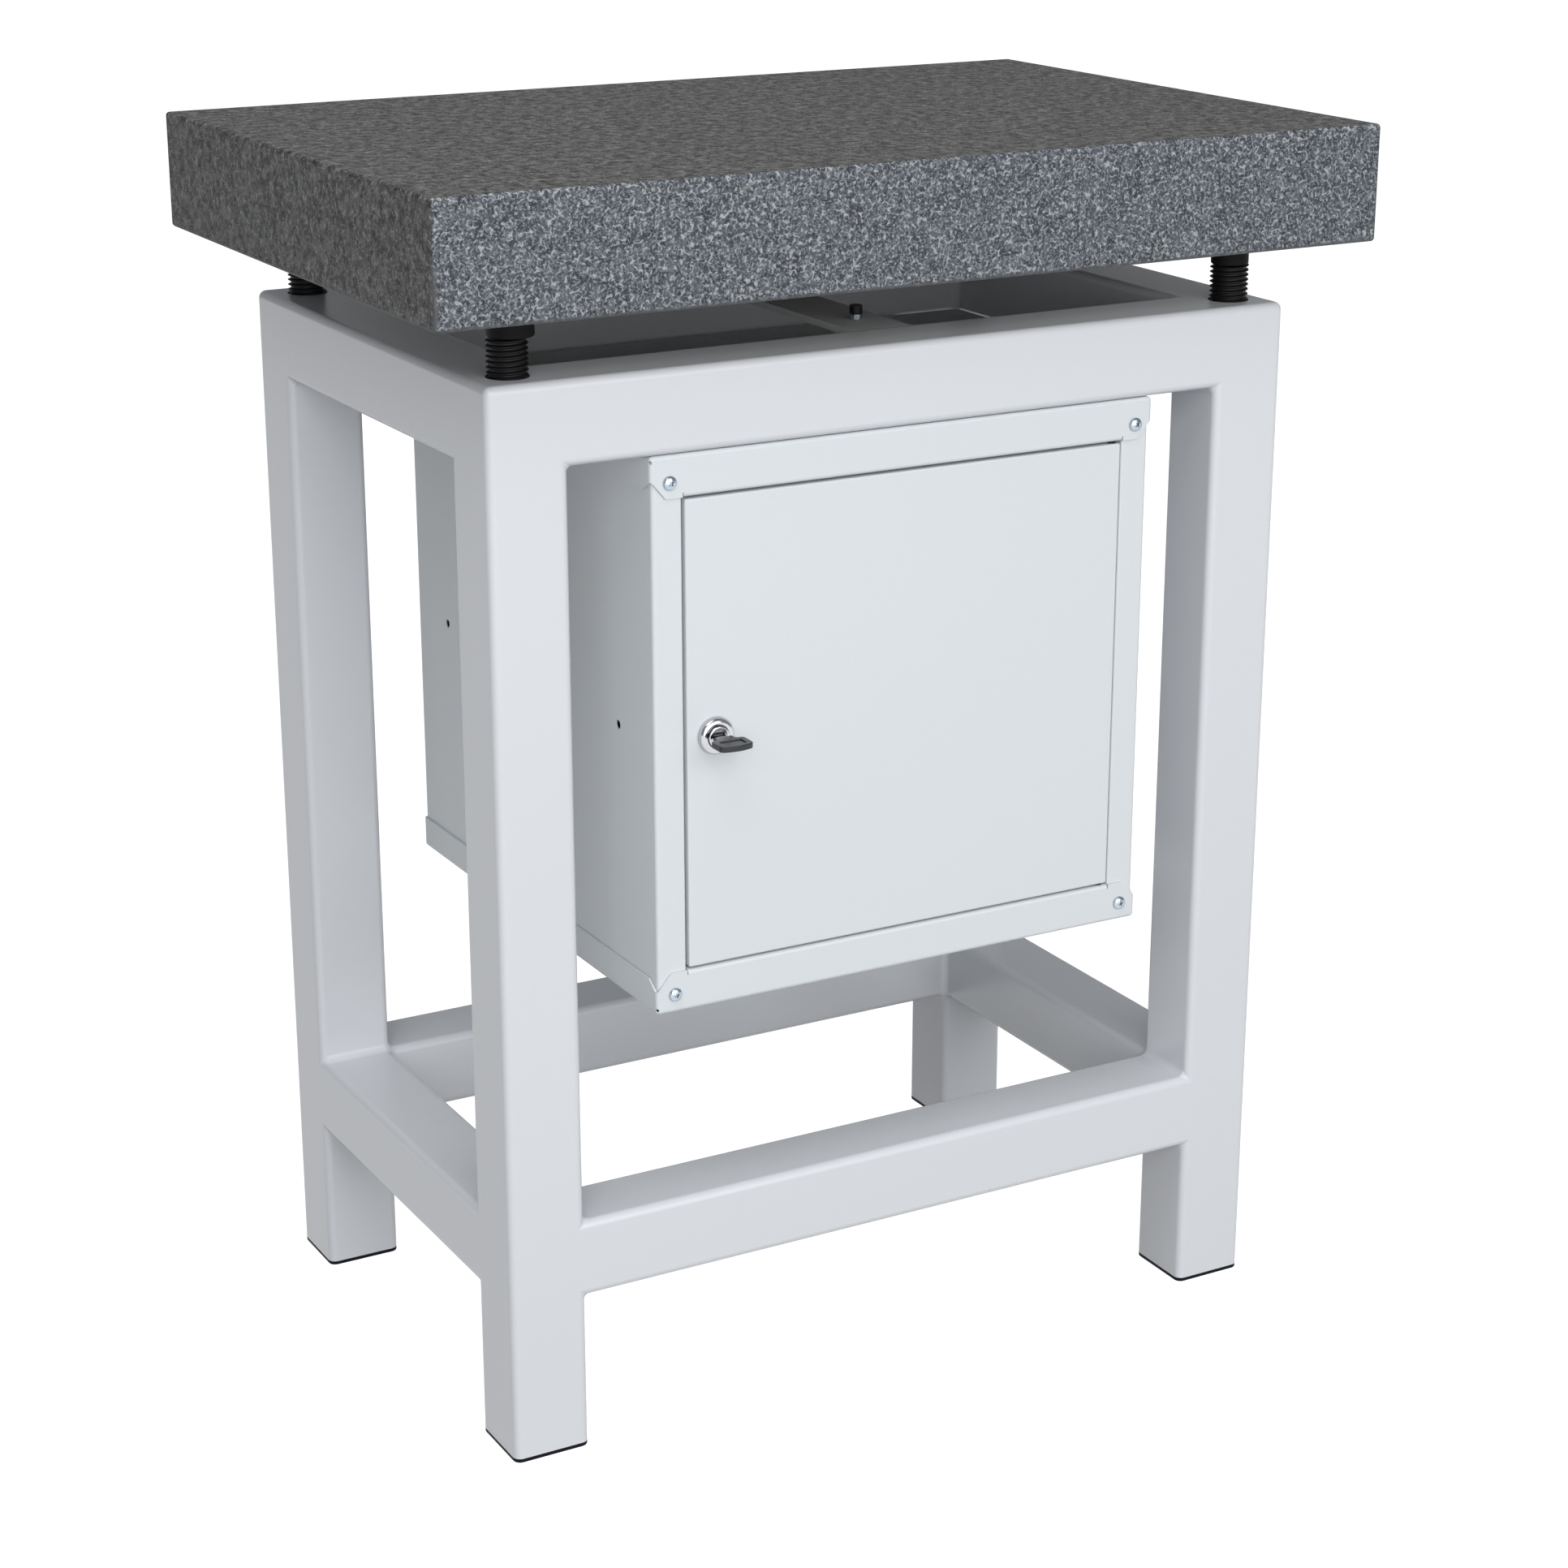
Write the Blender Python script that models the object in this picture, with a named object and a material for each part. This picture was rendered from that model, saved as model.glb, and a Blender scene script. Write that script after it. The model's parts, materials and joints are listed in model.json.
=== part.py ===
"""Granite surface plate on a welded stand, with a sheet-metal cabinet that hangs in the stand.

Metres, +Z up. X runs along the long side, Y runs from the front to the back, and the
origin is on the floor under the middle of the stand.
"""
import math

import bmesh
import bpy
from mathutils import Matrix, Vector

# Clearances
FIT = 0.0003
OVERRUN = 0.002
TINY = 0.00001

# Stand: square tube, welded flush
STAND_LENGTH = 0.545
STAND_DEPTH = 0.354
STAND_HEIGHT = 0.668
TUBE = 0.050
TUBE_WALL = 0.003
TUBE_CORNER = 0.005
STRETCHER_TOP = 0.152

# Foot caps
CAP_FLANGE = 0.0025
CAP_PLUG = 0.016

# Plate
PLATE_LENGTH = 0.630
PLATE_DEPTH = 0.420
PLATE_THICKNESS = 0.072
PLATE_BEVEL = 0.0025
PLATE_CLEARANCE = 0.039

# Levelling screws and what they stand in and carry
SCREW_DIAMETER = 0.024
SCREW_CHAMFER = 0.001
SCREW_BELOW_BLOCK = 0.022
BLOCK_HEIGHT = 0.022
LEFT_PAD_DIAMETER = 0.027
RIGHT_PAD_DIAMETER = 0.0235
PAD_THICKNESS = 0.0162
PAD_EDGE = 0.001
LEFT_PAD_SHIFT = 0.0025

# Crossbar between the front and rear rails
CROSSBAR_WIDTH = 0.040
CROSSBAR_THICKNESS = 0.004
CROSSBAR_X = 0.0085
BAR_SCREW_X = 0.0095
BAR_SCREW_Y = -0.097
BAR_SCREW_HEAD = 0.008
BAR_SCREW_HEAD_HEIGHT = 0.0052
BAR_SCREW_SHANK = 0.004
BAR_SCREW_BELOW = 0.003
SPACER_DIAMETER = 0.0084
SPACER_HEIGHT = 0.003
CLOSING_SHEET = 0.002

# Cabinet
CABINET_WIDTH = 0.347
CABINET_DEPTH = 0.351
CABINET_HEIGHT = 0.342
CABINET_X = 0.002
SHEET = 0.0012
BEND = 0.0025
SIDE_BORDER = 0.021
TOP_BORDER = 0.0255
PAN_FLANGE = 0.0207
PAN_FLANGE_SLOPE = 0.0105
STRIP_END = 0.0135
STRIP_SLOPE = 0.0100
STRIP_FOOT = 0.0050
RELIEF_WIDTH = 0.0016
LIP = 0.0165
BACK_FLANGE = 0.012
PANEL_PROUD = SHEET + FIT

# Corner screws of the cabinet
CORNER_SCREW_X_INSET = 0.0125
UPPER_SCREW_Z_INSET = 0.0160
LOWER_SCREW_Z_INSET = 0.0118
CORNER_SCREW_HEAD = 0.0084
CORNER_SCREW_DOME = 0.0026
CORNER_SCREW_SHANK = 0.004
CORNER_SCREW_LENGTH = 0.008
CORNER_SCREW_HOLE = 0.0048
CROSS_WIDTH = 0.0010
CROSS_REACH = 0.0046
CROSS_DEPTH = 0.0012

# Bolts that hold the cabinet under the front and rear rails
BOLT_DIAMETER = 0.006
BOLT_REACH = 0.010
BOLT_HOLE = 0.0068
BOLT_X = 0.120
BOLT_HEAD_ACROSS = 0.010
BOLT_HEAD_HEIGHT = 0.004

# Shelf on four pegs
PEG_Y = 0.1265
PEG_Z = 0.4456
PEG_HOLE = 0.0058
PEG_STUB = 0.0052
PEG_HEAD = 0.008
PEG_HEAD_LENGTH = 0.007
SHELF_FRONT_GAP = 0.0275
SHELF_REAR_GAP = 0.0165
SHELF_SIDE_GAP = 0.001
SHELF_FLANGE = 0.018

# Door, its hinge and its lock
DOOR_GAP = 0.0015
DOOR_DEPTH = 0.0165
HINGE_INSET = 0.0042
PIN_DIAMETER = 0.003
PIN_HOLE = 0.0036
PIN_HEAD = 0.0045
PIN_HEAD_HEIGHT = 0.0012
PIN_REACH = 0.006
PIN_COLLAR = 0.005
LOCK_INSET = 0.0182
BEZEL_DIAMETER = 0.023
BEZEL_HEIGHT = 0.005
BEZEL_RIM = 0.0012
BARREL_DIAMETER = 0.0184
BARREL_LENGTH = 0.0178
PLUG_DIAMETER = 0.0136
PLUG_PROUD = 0.0012
LOCK_NUT_ACROSS = 0.0225
LOCK_NUT_HEIGHT = 0.003
CAM_LENGTH = 0.030
CAM_WIDTH = 0.012
CAM_THICKNESS = 0.002
CAM_SCREW_HEAD = 0.007
CAM_SCREW_HEAD_HEIGHT = 0.0024
CAM_SCREW_SHANK = 0.0035
CAM_SCREW_DEPTH = 0.0026

# Key
BLADE_WIDTH = 0.0058
BLADE_THICKNESS = 0.0018
BLADE_DEPTH = 0.0155
KEY_HEAD_WIDTH = 0.022
KEY_HEAD_THICKNESS = 0.0035
KEY_HEAD_NEAR = 0.010
KEY_HEAD_FAR = 0.0305
KEY_NECK_WIDTH = 0.012
KEY_NECK_LENGTH = 0.005
KEY_BOW = 0.0022
KEY_RIM = 0.0024
KEY_FIELD_DEPTH = 0.0006

# Fineness of round shapes
BEND_SEGMENTS = 3
CORNER_STEPS = 3
DOME_STEPS = 5
BOW_STEPS = 6
PLATE_EDGE_STEPS = 2
FLAT_LIMIT = 0.9
BIG_ROUND = 28
SMALL_ROUND = 16

# Places that follow from the sizes
STAND_SIDE_X = STAND_LENGTH / 2 - TUBE / 2
STAND_SIDE_Y = STAND_DEPTH / 2 - TUBE / 2
RAIL_Z = STAND_HEIGHT - TUBE / 2
RAIL_UNDERSIDE = STAND_HEIGHT - TUBE
STRETCHER_Z = STRETCHER_TOP - TUBE / 2
PLATE_UNDERSIDE = STAND_HEIGHT + PLATE_CLEARANCE
PAD_TOP = PLATE_UNDERSIDE - FIT
PAD_UNDERSIDE = PAD_TOP - PAD_THICKNESS
SCREW_TOP = PAD_UNDERSIDE - FIT
SCREW_BOTTOM = STAND_HEIGHT - BLOCK_HEIGHT - SCREW_BELOW_BLOCK
PLUG_SIDE = TUBE - 2 * TUBE_WALL - 2 * FIT
PLUG_CORNER = TUBE_CORNER - TUBE_WALL - FIT
CABINET_TOP = RAIL_UNDERSIDE - FIT
CABINET_BOTTOM = CABINET_TOP - CABINET_HEIGHT
CABINET_Z = (CABINET_TOP + CABINET_BOTTOM) / 2
CABINET_FRONT = -CABINET_DEPTH / 2
CABINET_BACK = CABINET_DEPTH / 2
PANEL_HALF = CABINET_WIDTH / 2 - PANEL_PROUD
OPENING_HALF = CABINET_WIDTH / 2 - SIDE_BORDER
OPENING_TOP = CABINET_TOP - TOP_BORDER
OPENING_BOTTOM = CABINET_BOTTOM + TOP_BORDER
DOOR_WIDTH = 2 * (OPENING_HALF - DOOR_GAP)
DOOR_HEIGHT = OPENING_TOP - OPENING_BOTTOM - 2 * DOOR_GAP
DOOR_LEFT = CABINET_X - DOOR_WIDTH / 2
DOOR_RIGHT = CABINET_X + DOOR_WIDTH / 2
HINGE_X = DOOR_RIGHT - HINGE_INSET
HINGE_Y = CABINET_FRONT + HINGE_INSET
LOCK_X = DOOR_LEFT + LOCK_INSET
CORNER_SCREW_HALF = CABINET_WIDTH / 2 - CORNER_SCREW_X_INSET


def clear_scene():
    """Removes the objects that the scene starts with."""
    for old in list(bpy.data.objects):
        bpy.data.objects.remove(old, do_unlink=True)


def material(name, colour, roughness, metallic=0.0):
    """A Principled material of one colour."""
    look = bpy.data.materials.new(name)
    look.use_nodes = True
    shader = look.node_tree.nodes["Principled BSDF"]
    shader.inputs["Base Color"].default_value = (*colour, 1)
    shader.inputs["Roughness"].default_value = roughness
    shader.inputs["Metallic"].default_value = metallic
    look.diffuse_color = (*colour, 1)
    return look


def world_place(piece):
    """World place of an object whose parents aren't turned."""
    place = piece.location.copy()
    while piece.parent:
        piece = piece.parent
        place += piece.location
    return place


def pivot(name, at, carrier=None):
    """An empty on a joint's axis, which carries the pieces that move with it."""
    empty = bpy.data.objects.new(name, None)
    bpy.context.collection.objects.link(empty)
    empty.parent = carrier
    empty.location = Vector(at) - (world_place(carrier) if carrier else Vector())
    return empty


def add(name, shape, look, at, carrier=None):
    """Makes a named object from a bmesh, at a world place, carried by a pivot."""
    bmesh.ops.recalc_face_normals(shape, faces=shape.faces)
    mesh = bpy.data.meshes.new(name)
    shape.to_mesh(mesh)
    shape.free()
    mesh.shade_smooth()
    mesh.set_sharp_from_angle(angle=math.radians(30))
    mesh.materials.append(look)
    piece = bpy.data.objects.new(name, mesh)
    bpy.context.collection.objects.link(piece)
    piece.parent = carrier
    piece.location = Vector(at) - (world_place(carrier) if carrier else Vector())
    return piece


def combine(piece, shape, operation):
    """Cuts or adds a bmesh, given in the piece's own coordinates."""
    bmesh.ops.recalc_face_normals(shape, faces=shape.faces)
    mesh = bpy.data.meshes.new(piece.name + "_tool")
    shape.to_mesh(mesh)
    shape.free()
    tool = bpy.data.objects.new(piece.name + "_tool", mesh)
    bpy.context.collection.objects.link(tool)
    tool.parent = piece
    tool.hide_render = True
    tool.display_type = "WIRE"
    boolean = piece.modifiers.new(operation.capitalize(), "BOOLEAN")
    boolean.operation = operation
    boolean.solver = "EXACT"
    boolean.object = tool


def cut(piece, shape):
    """Cuts a shape out of the piece."""
    combine(piece, shape, "DIFFERENCE")


def unite(piece, shape):
    """Makes a shape part of the piece."""
    combine(piece, shape, "UNION")


def give_thickness(piece, thickness):
    """Turns a folded surface into sheet that lies inside its outer faces."""
    solid = piece.modifiers.new("Sheet", "SOLIDIFY")
    solid.thickness = thickness
    solid.offset = -1
    solid.use_even_offset = True


def block(shape, low, high):
    """Adds a block between two opposite corners."""
    middle = (Vector(low) + Vector(high)) / 2
    size = Vector(high) - Vector(low)
    matrix = Matrix.Translation(middle) @ Matrix.Diagonal((*size, 1))
    return bmesh.ops.create_cube(shape, size=1, matrix=matrix)["verts"]


def rounded_outline(width, depth, radii):
    """Rounded rectangle, counter-clockwise, with a radius for each corner from +X +Y on."""
    points = []
    for quarter, radius in enumerate(radii):
        side_x = 1 if quarter in (0, 3) else -1
        side_y = 1 if quarter in (0, 1) else -1
        middle = Vector((side_x * (width / 2 - radius), side_y * (depth / 2 - radius)))
        steps = CORNER_STEPS if radius else 0
        for step in range(steps + 1):
            angle = (quarter + (step / steps if steps else 0)) * math.pi / 2
            points.append(middle + radius * Vector((math.cos(angle), math.sin(angle))))
    return points


def even_outline(width, depth, radius):
    """Rounded rectangle with four equal corners."""
    return rounded_outline(width, depth, [radius] * 4)


def hexagon(across):
    """Six corners of a nut, its width measured across its flats."""
    reach = across / math.sqrt(3)
    turns = [step * math.pi / 3 for step in range(6)]
    return [Vector((reach * math.cos(turn), reach * math.sin(turn))) for turn in turns]


def flat_face(shape, outline, level):
    """One face at a level, from a counter-clockwise outline."""
    face = shape.faces.new([shape.verts.new((x, y, level)) for x, y in outline])
    face.normal_update()
    return face


def raise_faces(shape, faces, height, leave=True):
    """Extrudes flat faces along Z, and gives the far faces. A solid doesn't leave its old faces behind."""
    grown = bmesh.ops.extrude_face_region(shape, geom=faces)["geom"]
    verts = [item for item in grown if isinstance(item, bmesh.types.BMVert)]
    bmesh.ops.translate(shape, vec=(0, 0, height), verts=verts)
    if not leave:
        bmesh.ops.delete(shape, geom=faces, context="FACES_ONLY")
    shape.normal_update()
    return [face for face in grown if isinstance(face, bmesh.types.BMFace)]


def prism(shape, outline, bottom, top):
    """Closed solid between two levels."""
    raise_faces(shape, [flat_face(shape, outline, bottom)], top - bottom)


def tube(shape, outline, wall, bottom, top):
    """Tube with an even wall between two levels."""
    face = flat_face(shape, outline, bottom)
    rim = bmesh.ops.inset_region(shape, faces=[face], thickness=wall, use_boundary=True, use_even_offset=True)
    bmesh.ops.delete(shape, geom=[face], context="FACES")
    raise_faces(shape, rim["faces"], top - bottom)


def turned(shape, profile, steps, centre=(0, 0), axis="Z"):
    """Spins a profile of radius and height points, which starts and ends on the axis."""
    start = [shape.verts.new((radius, 0, height)) for radius, height in profile]
    edges = [shape.edges.new(pair) for pair in zip(start, start[1:])]
    spun = set(shape.verts[:]) - set(start)
    bmesh.ops.spin(shape, geom=start + edges, cent=(0, 0, 0), axis=(0, 0, 1), dvec=(0, 0, 0),
                   angle=2 * math.pi, steps=steps, use_merge=True, use_duplicate=False)
    new = [vert for vert in shape.verts if vert not in spun]
    bmesh.ops.remove_doubles(shape, verts=new, dist=TINY)
    new = [vert for vert in shape.verts if vert not in spun]
    lay_along(shape, new, centre, axis)


def lay_along(shape, verts, centre, axis):
    """Turns points from Z to another axis, then moves them to the centre across it."""
    if axis == "Y":
        bmesh.ops.rotate(shape, cent=(0, 0, 0), matrix=Matrix.Rotation(math.pi / 2, 3, "X"), verts=verts)
        move = (centre[0], 0, centre[1])
    elif axis == "X":
        bmesh.ops.rotate(shape, cent=(0, 0, 0), matrix=Matrix.Rotation(math.pi / 2, 3, "Y"), verts=verts)
        move = (0, centre[0], centre[1])
    else:
        move = (centre[0], centre[1], 0)
    bmesh.ops.translate(shape, vec=move, verts=verts)


def rod(shape, diameter, bottom, top, steps, centre=(0, 0), axis="Z"):
    """Plain cylinder. Along Y its bottom and top are measured towards the front."""
    radius = diameter / 2
    profile = [(0, bottom), (radius, bottom), (radius, top), (0, top)]
    turned(shape, profile, steps, centre, axis)


def folded(panels, bend):
    """Surface of flat panels, its shared edges rounded as bends."""
    shape = bmesh.new()
    for panel in panels:
        shape.faces.new([shape.verts.new(corner) for corner in panel])
    shape.normal_update()
    bmesh.ops.remove_doubles(shape, verts=shape.verts, dist=TINY)
    bmesh.ops.recalc_face_normals(shape, faces=shape.faces)
    bends = [edge for edge in shape.edges if len(edge.link_faces) == 2]
    bmesh.ops.bevel(shape, geom=bends, offset=bend, offset_type="OFFSET", affect="EDGES",
                    segments=BEND_SEGMENTS, profile=0.5, material=-1, clamp_overlap=False)
    return shape


PAINT = material("pale grey paint", (0.72, 0.75, 0.78), 0.25)
CABINET_PAINT = material("cabinet paint", (0.73, 0.77, 0.79), 0.4)
GRANITE = material("dark grey granite", (0.10, 0.10, 0.11), 0.45)
ZINC = material("bright zinc", (0.72, 0.74, 0.76), 0.25, 1.0)
CHROME = material("chrome", (0.80, 0.81, 0.83), 0.08, 1.0)
STEEL = material("bare steel", (0.45, 0.45, 0.46), 0.4, 1.0)
BLACK_OXIDE = material("blackened steel", (0.03, 0.03, 0.035), 0.45, 1.0)
PLASTIC = material("black plastic", (0.02, 0.02, 0.024), 0.5)
RUBBER = material("black rubber", (0.025, 0.025, 0.025), 0.8)

SIDES = (("left", -1), ("right", 1))
ENDS = (("front", -1), ("rear", 1))


def build_legs():
    """Four uprights, which stand in their foot caps."""
    outline = even_outline(TUBE, TUBE, TUBE_CORNER)
    middle = (STAND_HEIGHT + CAP_FLANGE + FIT) / 2
    for end, y in ENDS:
        for side, x in SIDES:
            shape = bmesh.new()
            tube(shape, outline, TUBE_WALL, CAP_FLANGE + FIT - middle, STAND_HEIGHT - middle)
            add(f"leg_{end}_{side}", shape, PAINT, (x * STAND_SIDE_X, y * STAND_SIDE_Y, middle))


def build_foot_caps():
    """Black caps: a flange under each leg and a hollow plug inside it."""
    for end, y in ENDS:
        for side, x in SIDES:
            shape = bmesh.new()
            foot = flat_face(shape, even_outline(TUBE, TUBE, TUBE_CORNER), 0)
            top = raise_faces(shape, [foot], CAP_FLANGE)
            bmesh.ops.inset_region(shape, faces=top, thickness=TUBE_WALL + FIT, use_even_offset=True)
            plug = raise_faces(shape, top, CAP_PLUG, leave=False)
            hollow = PLUG_CORNER - FIT
            bmesh.ops.inset_region(shape, faces=plug, thickness=hollow, use_even_offset=True)
            raise_faces(shape, plug, -CAP_PLUG, leave=False)
            add(f"foot_cap_{end}_{side}", shape, PLASTIC, (x * STAND_SIDE_X, y * STAND_SIDE_Y, 0))


def rail_along_x(name, y, z, bolted):
    """Front or rear bar, its ends shaped to the two legs between which it is welded."""
    shape = bmesh.new()
    reach = STAND_LENGTH / 2 - TUBE + TUBE_CORNER
    tube(shape, even_outline(TUBE, TUBE, TUBE_CORNER), TUBE_WALL, -reach, reach)
    lay_along(shape, shape.verts, (0, 0), "X")
    piece = add(name, shape, PAINT, (0, y, z))
    cutter = bmesh.new()
    for x in (-STAND_SIDE_X, STAND_SIDE_X):
        outline = even_outline(TUBE + 2 * FIT, TUBE + 2 * FIT, TUBE_CORNER + FIT)
        outline = [point + Vector((x, 0)) for point in outline]
        prism(cutter, outline, -TUBE / 2 - OVERRUN, TUBE / 2 + OVERRUN)
    if bolted:
        low = -TUBE / 2 - OVERRUN
        high = -TUBE / 2 + TUBE_WALL + OVERRUN
        for x in (CABINET_X - BOLT_X, CABINET_X + BOLT_X):
            rod(cutter, BOLT_DIAMETER + 2 * FIT, low, high, SMALL_ROUND, (x, 0))
    cut(piece, cutter)


def rail_along_y(name, side, z):
    """Left or right bar. It leaves the stand's inner corners to the front and rear bars."""
    shape = bmesh.new()
    reach = STAND_DEPTH / 2 - TUBE + TUBE_CORNER
    tube(shape, even_outline(TUBE, TUBE, TUBE_CORNER), TUBE_WALL, -reach, reach)
    lay_along(shape, shape.verts, (0, 0), "Y")
    piece = add(name, shape, PAINT, (side * STAND_SIDE_X, 0, z))
    corner = TUBE_CORNER + FIT
    radii = (corner, 0, 0, corner) if side > 0 else (0, corner, corner, 0)
    cutter = bmesh.new()
    for y in (-STAND_SIDE_Y, STAND_SIDE_Y):
        outline = rounded_outline(TUBE + 2 * FIT, TUBE + 2 * FIT, radii)
        outline = [point + Vector((0, y)) for point in outline]
        prism(cutter, outline, -TUBE / 2 - OVERRUN, TUBE / 2 + OVERRUN)
    cut(piece, cutter)


def build_rails():
    """Top rails and lower stretchers."""
    for kind, z in (("top_rail", RAIL_Z), ("stretcher", STRETCHER_Z)):
        for end, y in ENDS:
            rail_along_x(f"{kind}_{end}", y * STAND_SIDE_Y, z, kind == "top_rail")
        for side, x in SIDES:
            rail_along_y(f"{kind}_{side}", x, z)


def build_crossbar():
    """Flat bar, flush with the rails' tops, shaped to their rounded edges, with a screw on a spacer."""
    reach = STAND_DEPTH / 2 - TUBE + TUBE_CORNER
    level = STAND_HEIGHT - CROSSBAR_THICKNESS
    shape = bmesh.new()
    block(shape, (-CROSSBAR_WIDTH / 2, -reach, 0), (CROSSBAR_WIDTH / 2, reach, CROSSBAR_THICKNESS))
    piece = add("crossbar", shape, PAINT, (CROSSBAR_X, 0, level))
    cutter = bmesh.new()
    for y in (-STAND_SIDE_Y, STAND_SIDE_Y):
        seat = bmesh.new()
        outline = even_outline(TUBE + 2 * FIT, TUBE + 2 * FIT, TUBE_CORNER + FIT)
        prism(seat, outline, -CROSSBAR_WIDTH / 2 - OVERRUN, CROSSBAR_WIDTH / 2 + OVERRUN)
        lay_along(seat, seat.verts, (y, RAIL_Z - level), "X")
        join(cutter, seat)
    rod(cutter, BAR_SCREW_SHANK + 2 * FIT, -OVERRUN, CROSSBAR_THICKNESS + OVERRUN, SMALL_ROUND,
        (BAR_SCREW_X - CROSSBAR_X, BAR_SCREW_Y))
    cut(piece, cutter)

    at = (BAR_SCREW_X, BAR_SCREW_Y, STAND_HEIGHT + FIT)
    spacer = bmesh.new()
    bore = BAR_SCREW_SHANK / 2 + FIT
    wall = SPACER_DIAMETER / 2
    ring(spacer, [(bore, 0), (wall, 0), (wall, SPACER_HEIGHT), (bore, SPACER_HEIGHT)], SMALL_ROUND)
    add("crossbar_spacer", spacer, ZINC, at)
    tip = -CROSSBAR_THICKNESS - BAR_SCREW_BELOW
    seat = SPACER_HEIGHT + FIT
    top = seat + BAR_SCREW_HEAD_HEIGHT
    radius = BAR_SCREW_HEAD / 2
    profile = [(0, tip), (BAR_SCREW_SHANK / 2, tip), (BAR_SCREW_SHANK / 2, seat), (radius, seat),
               (radius, top - FIT), (radius - FIT, top), (0, top)]
    screw = bmesh.new()
    turned(screw, profile, SMALL_ROUND)
    add("crossbar_screw", screw, BLACK_OXIDE, at)


def join(shape, other):
    """Adds another bmesh to a bmesh."""
    mesh = bpy.data.meshes.new("joined")
    other.to_mesh(mesh)
    other.free()
    shape.from_mesh(mesh)
    bpy.data.meshes.remove(mesh)


def ring(shape, section, steps, axis="Z"):
    """Spins a closed section of radius and height points, which stays off the axis."""
    start = [shape.verts.new((radius, 0, height)) for radius, height in section]
    edges = [shape.edges.new(pair) for pair in zip(start, start[1:] + start[:1])]
    bmesh.ops.spin(shape, geom=start + edges, cent=(0, 0, 0), axis=(0, 0, 1), dvec=(0, 0, 0),
                   angle=2 * math.pi, steps=steps, use_merge=True, use_duplicate=False)
    lay_along(shape, shape.verts, (0, 0), axis)


def build_closing_sheet():
    """Sheet that closes the space between the top rails, over the cabinet."""
    half_x = STAND_LENGTH / 2 - TUBE - FIT
    half_y = STAND_DEPTH / 2 - TUBE - FIT
    shape = bmesh.new()
    block(shape, (-half_x, -half_y, 0), (half_x, half_y, CLOSING_SHEET))
    add("closing_sheet", shape, PAINT, (0, 0, RAIL_UNDERSIDE))


def build_nut_blocks():
    """Blocks welded into the legs' tops, in which the levelling screws turn."""
    for end, y in ENDS:
        for side, x in SIDES:
            shape = bmesh.new()
            prism(shape, even_outline(PLUG_SIDE, PLUG_SIDE, PLUG_CORNER), 0, BLOCK_HEIGHT)
            at = (x * STAND_SIDE_X, y * STAND_SIDE_Y, STAND_HEIGHT - BLOCK_HEIGHT)
            piece = add(f"nut_block_{end}_{side}", shape, STEEL, at)
            bore = bmesh.new()
            rod(bore, SCREW_DIAMETER + 2 * FIT, -OVERRUN, BLOCK_HEIGHT + OVERRUN, BIG_ROUND)
            cut(piece, bore)


def pan_panels(down):
    """Flat panels of the top or bottom pan. Its outer level is zero, and down points inwards."""
    half = CABINET_WIDTH / 2
    front, back = CABINET_FRONT, CABINET_BACK
    inner = OPENING_HALF
    relief = BEND + FIT
    slope_end = half - STRIP_SLOPE
    top = [(-half, front, 0), (half, front, 0), (half, back, 0), (-half, back, 0)]
    half_strip = [(half, 0), (half, STRIP_END), (slope_end, TOP_BORDER - FIT),
                  (slope_end - STRIP_FOOT, TOP_BORDER), (inner, TOP_BORDER), (inner, TOP_BORDER - relief),
                  (inner - RELIEF_WIDTH, TOP_BORDER - relief), (inner - RELIEF_WIDTH, TOP_BORDER)]
    strip = [(x, front, down * drop) for x, drop in half_strip]
    strip += [(-x, front, down * drop) for x, drop in reversed(half_strip)]
    lip_half = inner - RELIEF_WIDTH
    level = down * TOP_BORDER
    lip = [(-lip_half, front, level), (lip_half, front, level),
           (lip_half, front + LIP, level), (-lip_half, front + LIP, level)]
    depth = down * PAN_FLANGE
    rear = [(-half, back, 0), (half, back, 0), (half, back, depth), (-half, back, depth)]
    panels = [top, strip, lip, rear]
    for side in (-1, 1):
        x = side * half
        panels.append([(x, front, 0), (x, front, down * STRIP_END), (x, front + PAN_FLANGE_SLOPE, depth),
                       (x, back, depth), (x, back, 0)])
    return panels


def build_pan(name, level, down, bolted):
    """Folded pan with its front strip, its lip over the door and its side and rear flanges."""
    piece = add(name, folded(pan_panels(down), BEND), CABINET_PAINT, (CABINET_X, 0, level))
    give_thickness(piece, SHEET)
    holes = bmesh.new()
    inside = -CABINET_FRONT - SHEET - OVERRUN
    outside = -CABINET_FRONT + OVERRUN
    inset = UPPER_SCREW_Z_INSET if down < 0 else LOWER_SCREW_Z_INSET
    for x in (-CORNER_SCREW_HALF, CORNER_SCREW_HALF):
        at = (x, down * inset)
        rod(holes, CORNER_SCREW_HOLE, inside, outside, SMALL_ROUND, at, "Y")
    lip = sorted((down * (TOP_BORDER - SHEET - OVERRUN), down * (TOP_BORDER + OVERRUN)))
    rod(holes, PIN_HOLE, lip[0], lip[1], SMALL_ROUND, (HINGE_X - CABINET_X, HINGE_Y))
    if bolted:
        for x in (-BOLT_X, BOLT_X):
            for y in (-STAND_SIDE_Y, STAND_SIDE_Y):
                rod(holes, BOLT_HOLE, -SHEET - OVERRUN, OVERRUN, SMALL_ROUND, (x, y))
    cut(piece, holes)


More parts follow.
